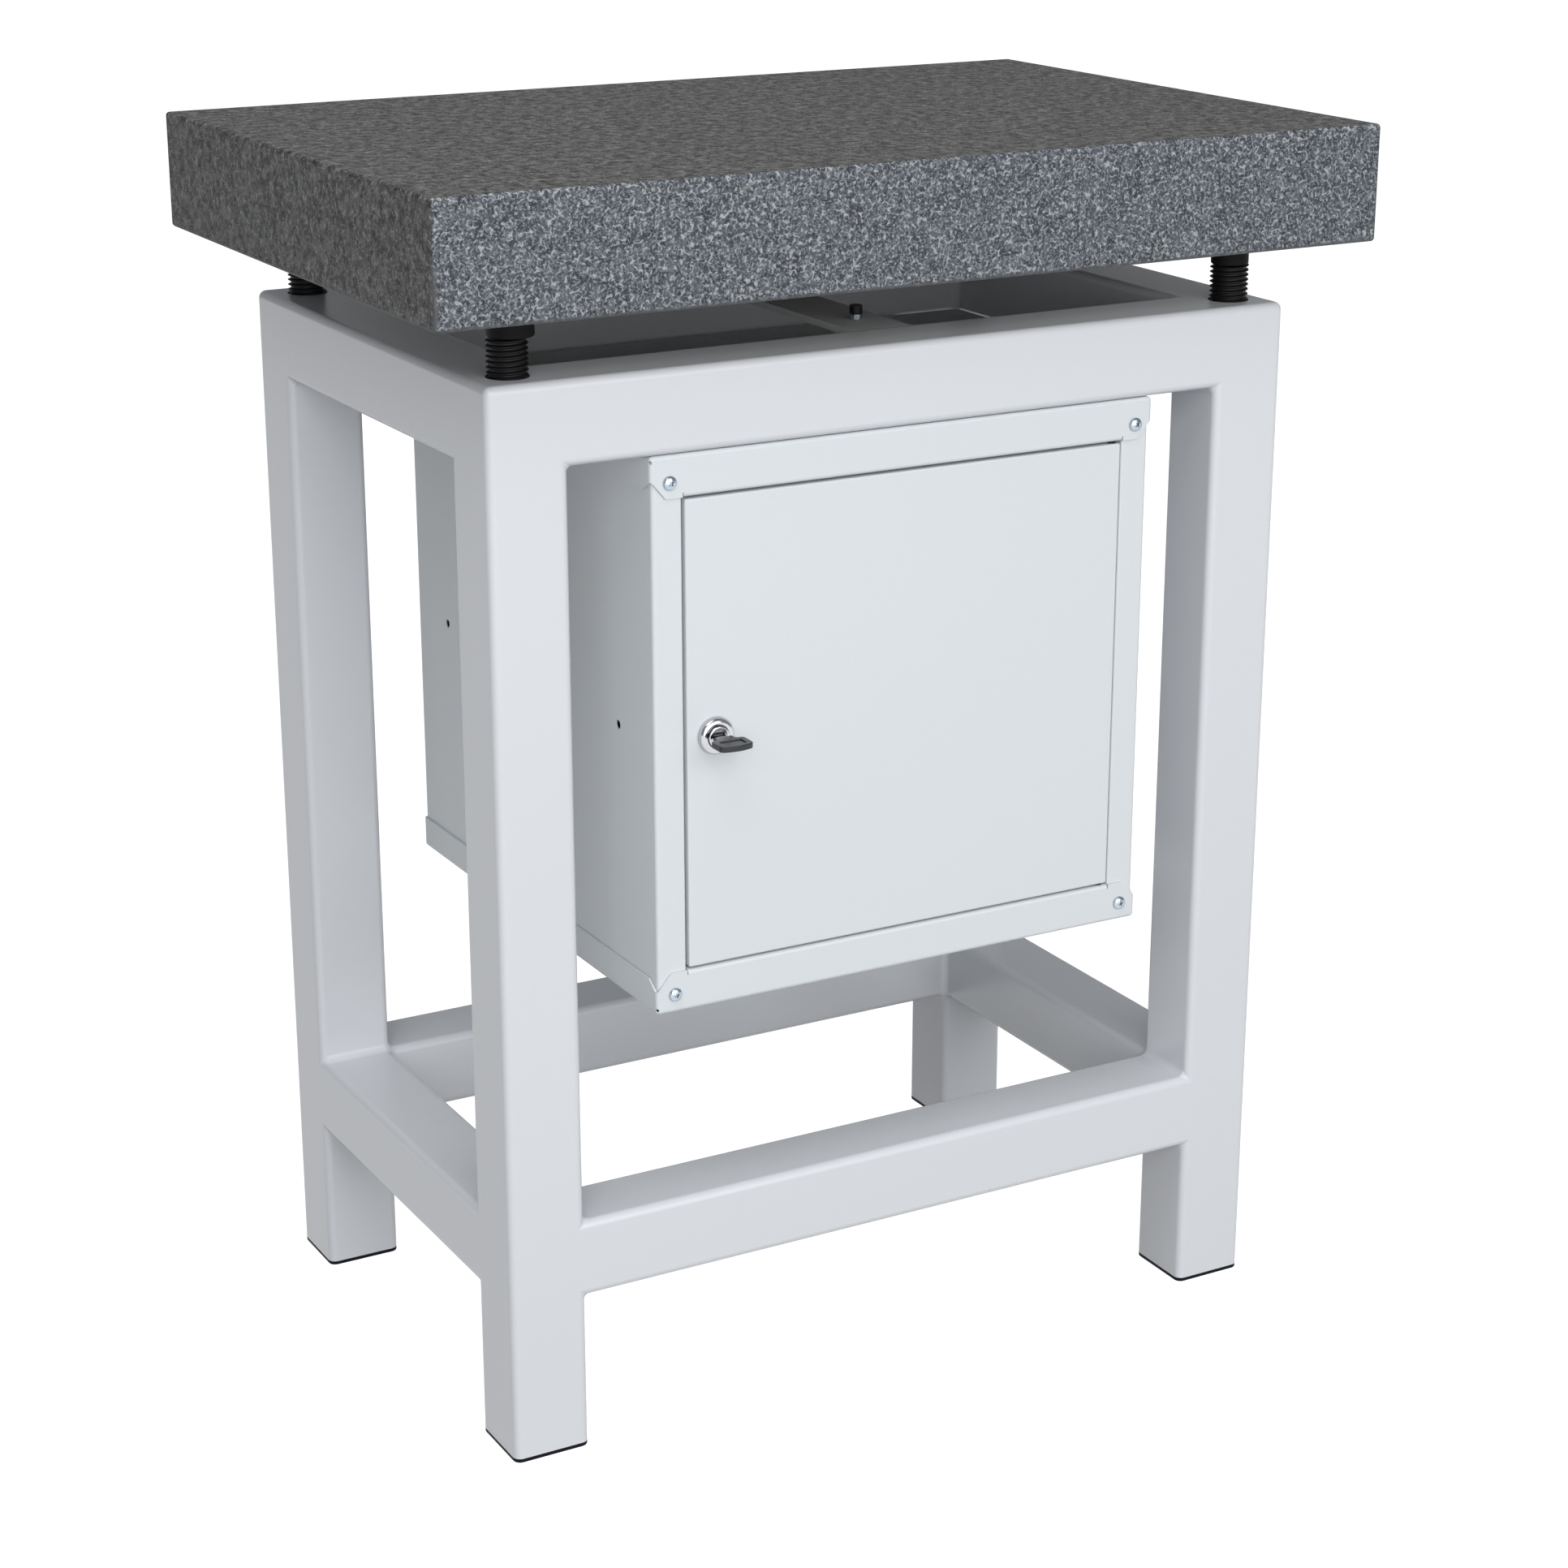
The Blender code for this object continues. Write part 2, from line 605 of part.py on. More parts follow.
def build_side_panel(name, side):
    """Side panel with its front flange behind the strips and its lip beside the door."""
    outer = side * PANEL_HALF
    inner = side * OPENING_HALF
    front = CABINET_FRONT + PANEL_PROUD
    back = CABINET_BACK - BEND
    half = CABINET_HEIGHT / 2 - BEND - FIT
    lip_half = CABINET_HEIGHT / 2 - TOP_BORDER + SHEET
    deep = CABINET_FRONT + LIP
    wall = [(outer, front, -half), (outer, back, -half), (outer, back, half), (outer, front, half)]
    flange = [(outer, front, -half), (outer, front, half), (inner, front, half), (inner, front, lip_half),
              (inner, front, -lip_half), (inner, front, -half)]
    lip = [(inner, front, -lip_half), (inner, front, lip_half),
           (inner, deep, lip_half), (inner, deep, -lip_half)]
    piece = add(name, folded([wall, flange, lip], BEND), CABINET_PAINT, (CABINET_X, 0, CABINET_Z))
    give_thickness(piece, SHEET)
    holes = bmesh.new()
    for level, inset in ((-1, LOWER_SCREW_Z_INSET), (1, UPPER_SCREW_Z_INSET)):
        at = (side * CORNER_SCREW_HALF, level * (CABINET_HEIGHT / 2 - inset))
        rod(holes, CORNER_SCREW_HOLE, -front - SHEET - OVERRUN, -front + OVERRUN, SMALL_ROUND, at, "Y")
    reach = sorted((outer - side * (SHEET + OVERRUN), outer + side * OVERRUN))
    for y in (-PEG_Y, PEG_Y):
        rod(holes, PEG_HOLE, reach[0], reach[1], SMALL_ROUND, (y, PEG_Z - CABINET_Z), "X")
    cut(piece, holes)


def build_back_panel():
    """Back panel, its two flanges inside the side panels."""
    half = PANEL_HALF - SHEET - FIT
    back = CABINET_BACK - PANEL_PROUD
    high = CABINET_HEIGHT / 2 - BEND - FIT
    wall = [(-half, back, -high), (half, back, -high), (half, back, high), (-half, back, high)]
    flange = back - BACK_FLANGE
    panels = [wall]
    for x in (-half, half):
        panels.append([(x, back, -high), (x, back, high), (x, flange, high), (x, flange, -high)])
    piece = add("cabinet_back_panel", folded(panels, BEND), CABINET_PAINT, (CABINET_X, 0, CABINET_Z))
    give_thickness(piece, SHEET)


def pan_head_profile(head, dome, shank, length):
    """Profile of a pan-head screw, its seat at zero and its dome upwards."""
    radius = head / 2
    edge = dome / 3
    profile = [(0, -length), (shank / 2, -length), (shank / 2, 0), (radius, 0), (radius, edge)]
    for step in range(1, DOME_STEPS + 1):
        angle = step / DOME_STEPS * math.pi / 2
        profile.append((radius * math.cos(angle), edge + (dome - edge) * math.sin(angle)))
    profile[-1] = (0, dome)
    return profile


def build_corner_screws():
    """Four pan-head screws with cross recesses, which join the pans and side panels."""
    profile = pan_head_profile(CORNER_SCREW_HEAD, CORNER_SCREW_DOME, CORNER_SCREW_SHANK,
                               CORNER_SCREW_LENGTH)
    arm = [(-CROSS_REACH / 2, -CROSS_WIDTH / 2), (-CROSS_WIDTH / 2, -CROSS_WIDTH / 2)]
    outline = []
    for turn in range(4):
        outline += [Matrix.Rotation(turn * math.pi / 2, 2) @ Vector(point) for point in arm]
    for level_name, level, inset in (("lower", -1, LOWER_SCREW_Z_INSET), ("upper", 1, UPPER_SCREW_Z_INSET)):
        for side, x in SIDES:
            screw = bmesh.new()
            turned(screw, profile, SMALL_ROUND, axis="Y")
            at = (CABINET_X + x * CORNER_SCREW_HALF, CABINET_FRONT - FIT,
                  CABINET_Z + level * (CABINET_HEIGHT / 2 - inset))
            piece = add(f"corner_screw_{level_name}_{side}", screw, ZINC, at)
            cross = bmesh.new()
            prism(cross, outline, CORNER_SCREW_DOME - CROSS_DEPTH, CORNER_SCREW_DOME + OVERRUN)
            lay_along(cross, cross.verts, (0, 0), "Y")
            cut(piece, cross)


def build_bolts():
    """Bolts through the cabinet's top pan into the undersides of the front and rear rails."""
    for end, y in ENDS:
        for side, x in SIDES:
            shape = bmesh.new()
            seat = -SHEET - FIT
            prism(shape, hexagon(BOLT_HEAD_ACROSS), seat - BOLT_HEAD_HEIGHT, seat)
            at = (CABINET_X + x * BOLT_X, y * STAND_SIDE_Y, CABINET_TOP)
            piece = add(f"cabinet_bolt_{end}_{side}", shape, ZINC, at)
            shank = bmesh.new()
            rod(shank, BOLT_DIAMETER, seat - BOLT_HEAD_HEIGHT / 2, BOLT_REACH, SMALL_ROUND)
            unite(piece, shank)


def build_shelf():
    """Shelf with its front and rear edges turned down, on four pegs in the side panels."""
    half = PANEL_HALF - SHEET - SHELF_SIDE_GAP
    front = CABINET_FRONT + SHELF_FRONT_GAP
    back = CABINET_BACK - SHELF_REAR_GAP
    level = PEG_HEAD / 2 + FIT + SHEET
    top = [(-half, front, 0), (half, front, 0), (half, back, 0), (-half, back, 0)]
    panels = [top]
    for y in (front, back):
        panels.append([(-half, y, 0), (half, y, 0), (half, y, -SHELF_FLANGE), (-half, y, -SHELF_FLANGE)])
    piece = add("shelf", folded(panels, BEND), CABINET_PAINT, (CABINET_X, 0, PEG_Z + level))
    give_thickness(piece, SHEET)
    seat = PANEL_HALF - SHEET - FIT
    stub_end = SHEET / 2 + FIT
    profile = [(0, -PEG_HEAD_LENGTH), (PEG_HEAD / 2, -PEG_HEAD_LENGTH), (PEG_HEAD / 2, 0),
               (PEG_STUB / 2, 0), (PEG_STUB / 2, stub_end), (0, stub_end)]
    for side, x in SIDES:
        for end, y in ENDS:
            peg = bmesh.new()
            turned(peg, [(radius, x * height) for radius, height in profile], SMALL_ROUND, axis="X")
            at = (CABINET_X + x * seat, y * PEG_Y, PEG_Z)
            add(f"shelf_peg_{end}_{side}", peg, ZINC, at)


def build_hinge():
    """Shoulder pins riveted in the lips over and under the door. Their collars fill the gap to the door."""
    for name, level, up in (("hinge_pin_upper", OPENING_TOP, 1), ("hinge_pin_lower", OPENING_BOTTOM, -1)):
        seat = SHEET + FIT
        collar = FIT - DOOR_GAP
        tip = -DOOR_GAP - SHEET - PIN_REACH
        shank = PIN_DIAMETER / 2
        profile = [(0, tip), (shank, tip), (shank, collar), (PIN_COLLAR / 2, collar), (PIN_COLLAR / 2, -FIT),
                   (shank, -FIT), (shank, seat), (PIN_HEAD / 2, seat), (PIN_HEAD / 2, seat + PIN_HEAD_HEIGHT),
                   (0, seat + PIN_HEAD_HEIGHT)]
        shape = bmesh.new()
        turned(shape, [(radius, up * height) for radius, height in profile], SMALL_ROUND)
        add(name, shape, STEEL, (HINGE_X, HINGE_Y, level))


def build_door(hinge):
    """Door folded like a tray, with its corners closed, bored for the lock and the hinge pins."""
    left = DOOR_LEFT - HINGE_X
    right = DOOR_RIGHT - HINGE_X
    front = CABINET_FRONT - HINGE_Y
    back = front + DOOR_DEPTH
    high = DOOR_HEIGHT / 2
    face = [(left, front, -high), (right, front, -high), (right, front, high), (left, front, high)]
    panels = [face]
    for start, end in zip(face, face[1:] + face[:1]):
        panels.append([start, end, (end[0], back, end[2]), (start[0], back, start[2])])
    piece = add("door_panel", folded(panels, BEND), CABINET_PAINT, (HINGE_X, HINGE_Y, CABINET_Z), hinge)
    give_thickness(piece, SHEET)
    holes = bmesh.new()
    rod(holes, BARREL_DIAMETER + 2 * FIT, -front - SHEET - OVERRUN, -front + OVERRUN, BIG_ROUND,
        (LOCK_X - HINGE_X, 0), "Y")
    for level in (-1, 1):
        low, high_end = sorted((level * (high - SHEET - OVERRUN), level * (high + OVERRUN)))
        rod(holes, PIN_HOLE, low, high_end, SMALL_ROUND)
    cut(piece, holes)


def bezel_profile():
    """Half section of the lock's housing: barrel, seat, domed bezel and bore, along its axis."""
    seat = FIT
    dome = BEZEL_HEIGHT - BEZEL_RIM - FIT
    bore = PLUG_DIAMETER / 2 + FIT
    flat = bore + BEZEL_RIM
    outer = BEZEL_DIAMETER / 2
    profile = [(bore, -BARREL_LENGTH), (BARREL_DIAMETER / 2, -BARREL_LENGTH),
               (BARREL_DIAMETER / 2, seat), (outer, seat), (outer, seat + BEZEL_RIM)]
    for step in range(1, DOME_STEPS + 1):
        angle = step / DOME_STEPS * math.pi / 2
        radius = flat + (outer - flat) * math.cos(angle)
        profile.append((radius, seat + BEZEL_RIM + dome * math.sin(angle)))
    profile.append((bore, seat + BEZEL_RIM + dome))
    return profile


def build_lock(hinge, lock):
    """Lock housing with its nut, and the plug with its cam, which turn on the lock's axis."""
    at = (LOCK_X, CABINET_FRONT, CABINET_Z)
    housing = bmesh.new()
    ring(housing, bezel_profile(), BIG_ROUND, "Y")
    add("lock_housing", housing, CHROME, at, hinge)

    nut_front = -SHEET - FIT
    lock_nut = bmesh.new()
    prism(lock_nut, hexagon(LOCK_NUT_ACROSS), nut_front - LOCK_NUT_HEIGHT, nut_front)
    lay_along(lock_nut, lock_nut.verts, (0, 0), "Y")
    nut_piece = add("lock_nut", lock_nut, ZINC, at, hinge)
    bore = bmesh.new()
    rod(bore, BARREL_DIAMETER + 2 * FIT, nut_front - LOCK_NUT_HEIGHT - OVERRUN, nut_front + OVERRUN,
        BIG_ROUND, axis="Y")
    cut(nut_piece, bore)

    face = BEZEL_HEIGHT + PLUG_PROUD
    radius = PLUG_DIAMETER / 2
    profile = [(0, -BARREL_LENGTH), (radius, -BARREL_LENGTH), (radius, face - PLUG_PROUD),
               (radius - PLUG_PROUD / 2, face - PLUG_PROUD / 3), (radius - PLUG_PROUD, face), (0, face)]
    plug = bmesh.new()
    turned(plug, profile, BIG_ROUND, axis="Y")
    plug_piece = add("lock_plug", plug, CHROME, at, lock)
    slots = bmesh.new()
    half_width = BLADE_WIDTH / 2 + FIT
    half_thick = BLADE_THICKNESS / 2 + FIT
    slot_end = -(face - BLADE_DEPTH - FIT)
    block(slots, (-half_width, -face - OVERRUN, -half_thick), (half_width, slot_end, half_thick))
    rod(slots, CAM_SCREW_SHANK + 2 * FIT, -BARREL_LENGTH - OVERRUN, -BARREL_LENGTH + CAM_SCREW_DEPTH + FIT,
        SMALL_ROUND, axis="Y")
    cut(plug_piece, slots)

    cam_back = -BARREL_LENGTH - FIT - CAM_THICKNESS
    radii = [CAM_WIDTH / 4, CAM_WIDTH / 4, CAM_WIDTH / 2, CAM_WIDTH / 2]
    outline = rounded_outline(CAM_WIDTH, CAM_LENGTH + CAM_WIDTH / 2, radii)
    middle = CAM_LENGTH / 2 - CAM_WIDTH / 4
    outline = [point + Vector((0, middle)) for point in outline]
    cam = bmesh.new()
    prism(cam, outline, cam_back, cam_back + CAM_THICKNESS)
    lay_along(cam, cam.verts, (0, 0), "Y")
    bmesh.ops.rotate(cam, matrix=Matrix.Rotation(math.pi, 3, "Y"), verts=cam.verts)
    cam_piece = add("lock_cam", cam, ZINC, at, lock)
    hole = bmesh.new()
    rod(hole, CAM_SCREW_SHANK + 2 * FIT, cam_back - OVERRUN, cam_back + CAM_THICKNESS + OVERRUN,
        SMALL_ROUND, axis="Y")
    cut(cam_piece, hole)

    seat = cam_back - FIT
    head = seat - CAM_SCREW_HEAD_HEIGHT
    tip = -BARREL_LENGTH + CAM_SCREW_DEPTH
    profile = [(0, head), (CAM_SCREW_HEAD / 2, head), (CAM_SCREW_HEAD / 2, seat),
               (CAM_SCREW_SHANK / 2, seat), (CAM_SCREW_SHANK / 2, tip), (0, tip)]
    cam_screw = bmesh.new()
    turned(cam_screw, profile, SMALL_ROUND, axis="Y")
    add("cam_screw", cam_screw, ZINC, at, lock)


def key_outline():
    """Outline of the key's head from above: neck, square shoulders and a bowed end."""
    half = KEY_HEAD_WIDTH / 2
    near = -KEY_HEAD_NEAR
    shoulder = near - KEY_NECK_LENGTH
    corner = -KEY_HEAD_FAR + KEY_BOW
    points = [(KEY_NECK_WIDTH / 2, near), (KEY_NECK_WIDTH / 2, shoulder + KEY_RIM / 2),
              (half - KEY_RIM / 2, shoulder), (half, shoulder - KEY_RIM / 2), (half, corner + KEY_RIM / 2)]
    for step in range(BOW_STEPS + 1):
        x = (half - KEY_RIM / 2) * (1 - 2 * step / BOW_STEPS)
        points.append((x, corner - KEY_BOW * (1 - (x / half) ** 2)))
    points += [(-x, y) for x, y in reversed(points[:5])]
    return points


def build_key(key):
    """Key in one piece: a flat blade in the plug, and a head with a raised rim and a bare field."""
    head = bmesh.new()
    half = KEY_HEAD_THICKNESS / 2
    prism(head, key_outline(), -half, half)
    bmesh.ops.recalc_face_normals(head, faces=head.faces)
    for side in (-1, 1):
        flats = [face for face in head.faces if face.normal.z * side > FLAT_LIMIT]
        bmesh.ops.inset_region(head, faces=flats, thickness=KEY_RIM, use_even_offset=True)
        verts = {vert for face in flats for vert in face.verts}
        bmesh.ops.translate(head, vec=(0, 0, -side * KEY_FIELD_DEPTH), verts=list(verts))
    piece = add("key", head, CHROME, (LOCK_X, CABINET_FRONT, CABINET_Z), key)
    blade = bmesh.new()
    face = -BEZEL_HEIGHT - PLUG_PROUD
    block(blade, (-BLADE_WIDTH / 2, -KEY_HEAD_NEAR - KEY_RIM / 2, -BLADE_THICKNESS / 2),
          (BLADE_WIDTH / 2, face + BLADE_DEPTH, BLADE_THICKNESS / 2))
    unite(piece, blade)


def build_plate(lift):
    """Granite plate with a fine bevel along all its edges."""
    shape = bmesh.new()
    half_x = PLATE_LENGTH / 2
    half_y = PLATE_DEPTH / 2
    block(shape, (-half_x, -half_y, 0), (half_x, half_y, PLATE_THICKNESS))
    piece = add("granite_plate", shape, GRANITE, (0, 0, PLATE_UNDERSIDE), lift)
    bevel = piece.modifiers.new("Edges", "BEVEL")
    bevel.width = PLATE_BEVEL
    bevel.segments = PLATE_EDGE_STEPS


def build_levelling(lift):
    """Pads under the plate, and the screws on whose ends they lie. The left pads lie a little inwards."""
    for end, y in ENDS:
        for side, x in SIDES:
            at = (x * STAND_SIDE_X, y * STAND_SIDE_Y, SCREW_TOP)
            shift = LEFT_PAD_SHIFT if side == "left" else 0
            radius = (LEFT_PAD_DIAMETER if side == "left" else RIGHT_PAD_DIAMETER) / 2
            profile = [(0, 0), (radius - PAD_EDGE, 0), (radius, PAD_EDGE), (radius, PAD_THICKNESS - PAD_EDGE),
                       (radius - PAD_EDGE, PAD_THICKNESS), (0, PAD_THICKNESS)]
            pad = bmesh.new()
            turned(pad, profile, BIG_ROUND)
            add(f"pad_{end}_{side}", pad, RUBBER, (at[0] + shift, at[1], PAD_UNDERSIDE), lift)
            axis = pivot(f"screw_axis_{end}_{side}", at, lift)
            radius = SCREW_DIAMETER / 2
            bottom = SCREW_BOTTOM - SCREW_TOP
            profile = [(0, bottom), (radius - SCREW_CHAMFER, bottom), (radius, bottom + SCREW_CHAMFER),
                       (radius, -SCREW_CHAMFER), (radius - SCREW_CHAMFER, 0), (0, 0)]
            screw = bmesh.new()
            turned(screw, profile, BIG_ROUND)
            add(f"levelling_screw_{end}_{side}", screw, BLACK_OXIDE, at, axis)


def main():
    """Builds the whole object, the stand first and the moving pieces last."""
    build_legs()
    build_foot_caps()
    build_rails()
    build_crossbar()
    build_closing_sheet()
    build_nut_blocks()
    build_pan("cabinet_top_pan", CABINET_TOP, -1, True)
    build_pan("cabinet_bottom_pan", CABINET_BOTTOM, 1, False)
    build_side_panel("cabinet_left_panel", -1)
    build_side_panel("cabinet_right_panel", 1)
    build_back_panel()
    build_corner_screws()
    build_bolts()
    build_shelf()
    build_hinge()
    hinge = pivot("door_hinge_axis", (HINGE_X, HINGE_Y, CABINET_Z))
    lock = pivot("lock_axis", (LOCK_X, CABINET_FRONT, CABINET_Z), hinge)
    key = pivot("key_slide", (LOCK_X, CABINET_FRONT, CABINET_Z), lock)
    build_door(hinge)
    build_lock(hinge, lock)
    build_key(key)
    lift = pivot("plate_lift_axis", (0, 0, PLATE_UNDERSIDE))
    build_plate(lift)
    build_levelling(lift)


clear_scene()
main()
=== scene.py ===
# %% [markdown]
# # A granite surface plate on its stand
#
# The real object is a measuring table. A thick granite plate lies on four levelling screws, the
# screws stand in a welded frame of square tube, and a small locked cabinet hangs in the frame.
# The CAD model gives every solid in its right place. This lesson gives it its looks: the soft
# edges of welded tube, rolled threads, folded sheet, and the finish of each material.
#
# Everything is in metres, +Z is up, and the front of the object looks along -Y.

# %% Load the CAD frame
import json
import math

import bmesh
import bpy
from mathutils import Matrix, Vector


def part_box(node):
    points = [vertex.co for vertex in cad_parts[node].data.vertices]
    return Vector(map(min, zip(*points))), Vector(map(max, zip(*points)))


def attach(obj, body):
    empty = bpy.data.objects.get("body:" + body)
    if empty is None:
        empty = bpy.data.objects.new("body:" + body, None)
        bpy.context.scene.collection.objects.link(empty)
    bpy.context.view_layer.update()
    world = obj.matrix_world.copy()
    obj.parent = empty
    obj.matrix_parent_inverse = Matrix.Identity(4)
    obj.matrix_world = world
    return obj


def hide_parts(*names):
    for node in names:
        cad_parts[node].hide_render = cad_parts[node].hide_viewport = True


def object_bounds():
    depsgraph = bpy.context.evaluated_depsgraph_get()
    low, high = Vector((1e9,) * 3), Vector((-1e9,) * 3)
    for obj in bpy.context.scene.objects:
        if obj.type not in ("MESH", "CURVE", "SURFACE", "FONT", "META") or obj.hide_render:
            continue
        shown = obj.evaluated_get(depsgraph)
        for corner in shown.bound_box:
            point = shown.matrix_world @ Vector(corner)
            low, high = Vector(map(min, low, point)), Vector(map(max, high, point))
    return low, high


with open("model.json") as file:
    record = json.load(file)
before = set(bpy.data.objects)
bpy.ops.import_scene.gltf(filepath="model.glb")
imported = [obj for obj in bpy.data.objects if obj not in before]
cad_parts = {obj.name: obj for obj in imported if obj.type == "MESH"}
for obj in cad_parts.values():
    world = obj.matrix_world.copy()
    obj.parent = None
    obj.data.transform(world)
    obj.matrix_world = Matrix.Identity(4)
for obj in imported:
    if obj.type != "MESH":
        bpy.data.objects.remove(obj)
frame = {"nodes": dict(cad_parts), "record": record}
cad_low, cad_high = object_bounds()
print("CAD box", [round(v, 3) for v in (*cad_low, *cad_high)])

# %% [markdown]
# ## Camera
#
# The photograph was taken from the left front, a little above the plate, with a fairly long lens.
# A camera can be aimed with a Track To constraint, but two plain angles are easier to read and
# to keep: how far it is turned about the vertical, and how far it looks down.

# %% Camera
CAMERA_PLACE = (-0.9904, -1.8023, 1.0339)
CAMERA_TURN = math.radians(-29.12)
CAMERA_TILT = math.radians(-18.564)
CAMERA_LENS = 75.24

camera_data = bpy.data.cameras.new("camera")
camera_data.lens = CAMERA_LENS
camera_data.sensor_width = 36
camera = bpy.data.objects.new("camera", camera_data)
camera.location = CAMERA_PLACE
camera.rotation_euler = (math.pi / 2 + CAMERA_TILT, 0, CAMERA_TURN)
bpy.context.scene.collection.objects.link(camera)
bpy.context.scene.camera = camera
print("camera", camera_data.lens, "mm")

# %% [markdown]
# ## Floor and light
#
# The photograph has a white background, without a shadow. White must come from the floor and the
# world, as the camera sees them, and not from more light, which would bleach the pale paint. So
# the floor glows, but only for camera, mirror and glass rays. All others meet its matt grey part.
#
# A broad lamp in front of the left side gives the bright front and the darker left faces. A small
# one above the left side lights the tops of the lower tubes, and the room adds a cool, even part.

# %% Node helpers
def new_material(name):
    """A material with an empty node tree, and its output node."""
    material = bpy.data.materials.new(name)
    material.use_nodes = True
    nodes = material.node_tree.nodes
    nodes.clear()
    return material, nodes, material.node_tree.links, nodes.new("ShaderNodeOutputMaterial")


def seen_directly(nodes, links):
    """A mask that is one for camera, mirror and glass rays."""
    path = nodes.new("ShaderNodeLightPath")
    mask = path.outputs["Is Camera Ray"]
    for ray in ("Is Glossy Ray", "Is Transmission Ray"):
        either = nodes.new("ShaderNodeMath")
        either.operation = "MAXIMUM"
        links.new(mask, either.inputs[0])
        links.new(path.outputs[ray], either.inputs[1])
        mask = either.outputs[0]
    return mask


# %% Floor
FLOOR_SIZE = 60.0
FLOOR_GLOW = 1.0
FLOOR_COLOUR = (0.30, 0.30, 0.30, 1)

floor_look, nodes, links, output = new_material("pale floor")
matt = nodes.new("ShaderNodeBsdfDiffuse")
matt.inputs["Color"].default_value = FLOOR_COLOUR
glow = nodes.new("ShaderNodeEmission")
strength = nodes.new("ShaderNodeMath")
strength.operation = "MULTIPLY"
strength.inputs[1].default_value = FLOOR_GLOW
links.new(seen_directly(nodes, links), strength.inputs[0])
links.new(strength.outputs[0], glow.inputs["Strength"])
both = nodes.new("ShaderNodeAddShader")
links.new(matt.outputs[0], both.inputs[0])
links.new(glow.outputs[0], both.inputs[1])
links.new(both.outputs[0], output.inputs["Surface"])

floor_shape = bmesh.new()
bmesh.ops.create_grid(floor_shape, x_segments=1, y_segments=1, size=FLOOR_SIZE / 2)
floor_mesh = bpy.data.meshes.new("floor")
floor_shape.to_mesh(floor_mesh)
floor_shape.free()
floor_mesh.materials.append(floor_look)
floor = bpy.data.objects.new("floor", floor_mesh)
bpy.context.scene.collection.objects.link(floor)
print("floor", FLOOR_SIZE, "m")

# %% World and lamps
WORLD_LIGHT = 0.30
LAMPS = {
    "key": {"place": (-0.5, -3.2, 1.5), "size": (5.0, 2.8), "watts": 111},
    "upper left": {"place": (-0.8, -0.6, 2.6), "size": (1.4, 1.4), "watts": 19},
}
ROOM_COLOUR = (0.93, 0.97, 1.0, 1)

world = bpy.data.worlds.new("room")
bpy.context.scene.world = world
world.use_nodes = True
nodes = world.node_tree.nodes
links = world.node_tree.links
nodes.clear()
output = nodes.new("ShaderNodeOutputWorld")
room = nodes.new("ShaderNodeBackground")
room.inputs["Color"].default_value = ROOM_COLOUR
room.inputs["Strength"].default_value = WORLD_LIGHT
backdrop = nodes.new("ShaderNodeBackground")
backdrop.inputs["Color"].default_value = (1, 1, 1, 1)
path = nodes.new("ShaderNodeLightPath")
mix = nodes.new("ShaderNodeMixShader")
links.new(path.outputs["Is Camera Ray"], mix.inputs["Fac"])
links.new(room.outputs[0], mix.inputs[1])
links.new(backdrop.outputs[0], mix.inputs[2])
links.new(mix.outputs[0], output.inputs["Surface"])

middle = (cad_low + cad_high) / 2
for name, lamp in LAMPS.items():
    data = bpy.data.lights.new(name, "AREA")
    data.shape = "RECTANGLE"
    data.size, data.size_y = lamp["size"]
    data.energy = lamp["watts"]
    light = bpy.data.objects.new(name, data)
    light.location = lamp["place"]
    light.rotation_euler = (middle - Vector(lamp["place"])).to_track_quat("-Z", "Y").to_euler()
    bpy.context.scene.collection.objects.link(light)
print("lamps", list(LAMPS))

bpy.context.scene.view_settings.view_transform = "Standard"

# %% [markdown]
# ## Node groups for the finishes
#
# Paint, rubber, plastic and steel all need the same few effects: a fine grain, a slow drift in
# tone, and edges rubbed by handling. Each effect is a node group with named inputs, built once. A
# group gives only masks and heights. The shader stays in the material, where the export reads it.

# %% Group helper
def new_group(name, inputs, outputs):
    """A node group with named number sockets."""
    group = bpy.data.node_groups.new(name, "ShaderNodeTree")
    for socket, value in inputs.items():
        made = group.interface.new_socket(socket, in_out="INPUT", socket_type="NodeSocketFloat")
        made.default_value = value
    for socket in outputs:
        group.interface.new_socket(socket, in_out="OUTPUT", socket_type="NodeSocketFloat")
    start = group.nodes.new("NodeGroupInput")
    end = group.nodes.new("NodeGroupOutput")
    return group, start.outputs, end.inputs


def noise(tree, scale, detail, roughness=0.5, vector=None):
    """A noise texture on object coordinates, its scale from a socket."""
    texture = tree.nodes.new("ShaderNodeTexNoise")
    texture.inputs["Detail"].default_value = detail
    texture.inputs["Roughness"].default_value = roughness
    tree.links.new(scale, texture.inputs["Scale"])
    if vector is None:
        vector = tree.nodes.new("ShaderNodeTexCoord").outputs["Object"]
    tree.links.new(vector, texture.inputs["Vector"])
    return texture.outputs["Fac"]


def arithmetic(tree, operation, first, second=None, third=None):
    """One Math node. Each term may be a number or a socket."""
    node = tree.nodes.new("ShaderNodeMath")
    node.operation = operation
    for socket, term in zip(node.inputs, (first, second, third)):
        if isinstance(term, (int, float)):
            socket.default_value = term
        elif term is not None:
            tree.links.new(term, socket)
    return node.outputs[0]


def between(tree, value, low, high, to_low=0.0, to_high=1.0):
    """A smooth step of a value from one range to another."""
    node = tree.nodes.new("ShaderNodeMapRange")
    node.interpolation_type = "SMOOTHSTEP"
    sockets = ("Value", "From Min", "From Max", "To Min", "To Max")
    for socket, term in zip(sockets, (value, low, high, to_low, to_high)):
        if isinstance(term, (int, float)):
            node.inputs[socket].default_value = term
        else:
            tree.links.new(term, node.inputs[socket])
    return node.outputs["Result"]


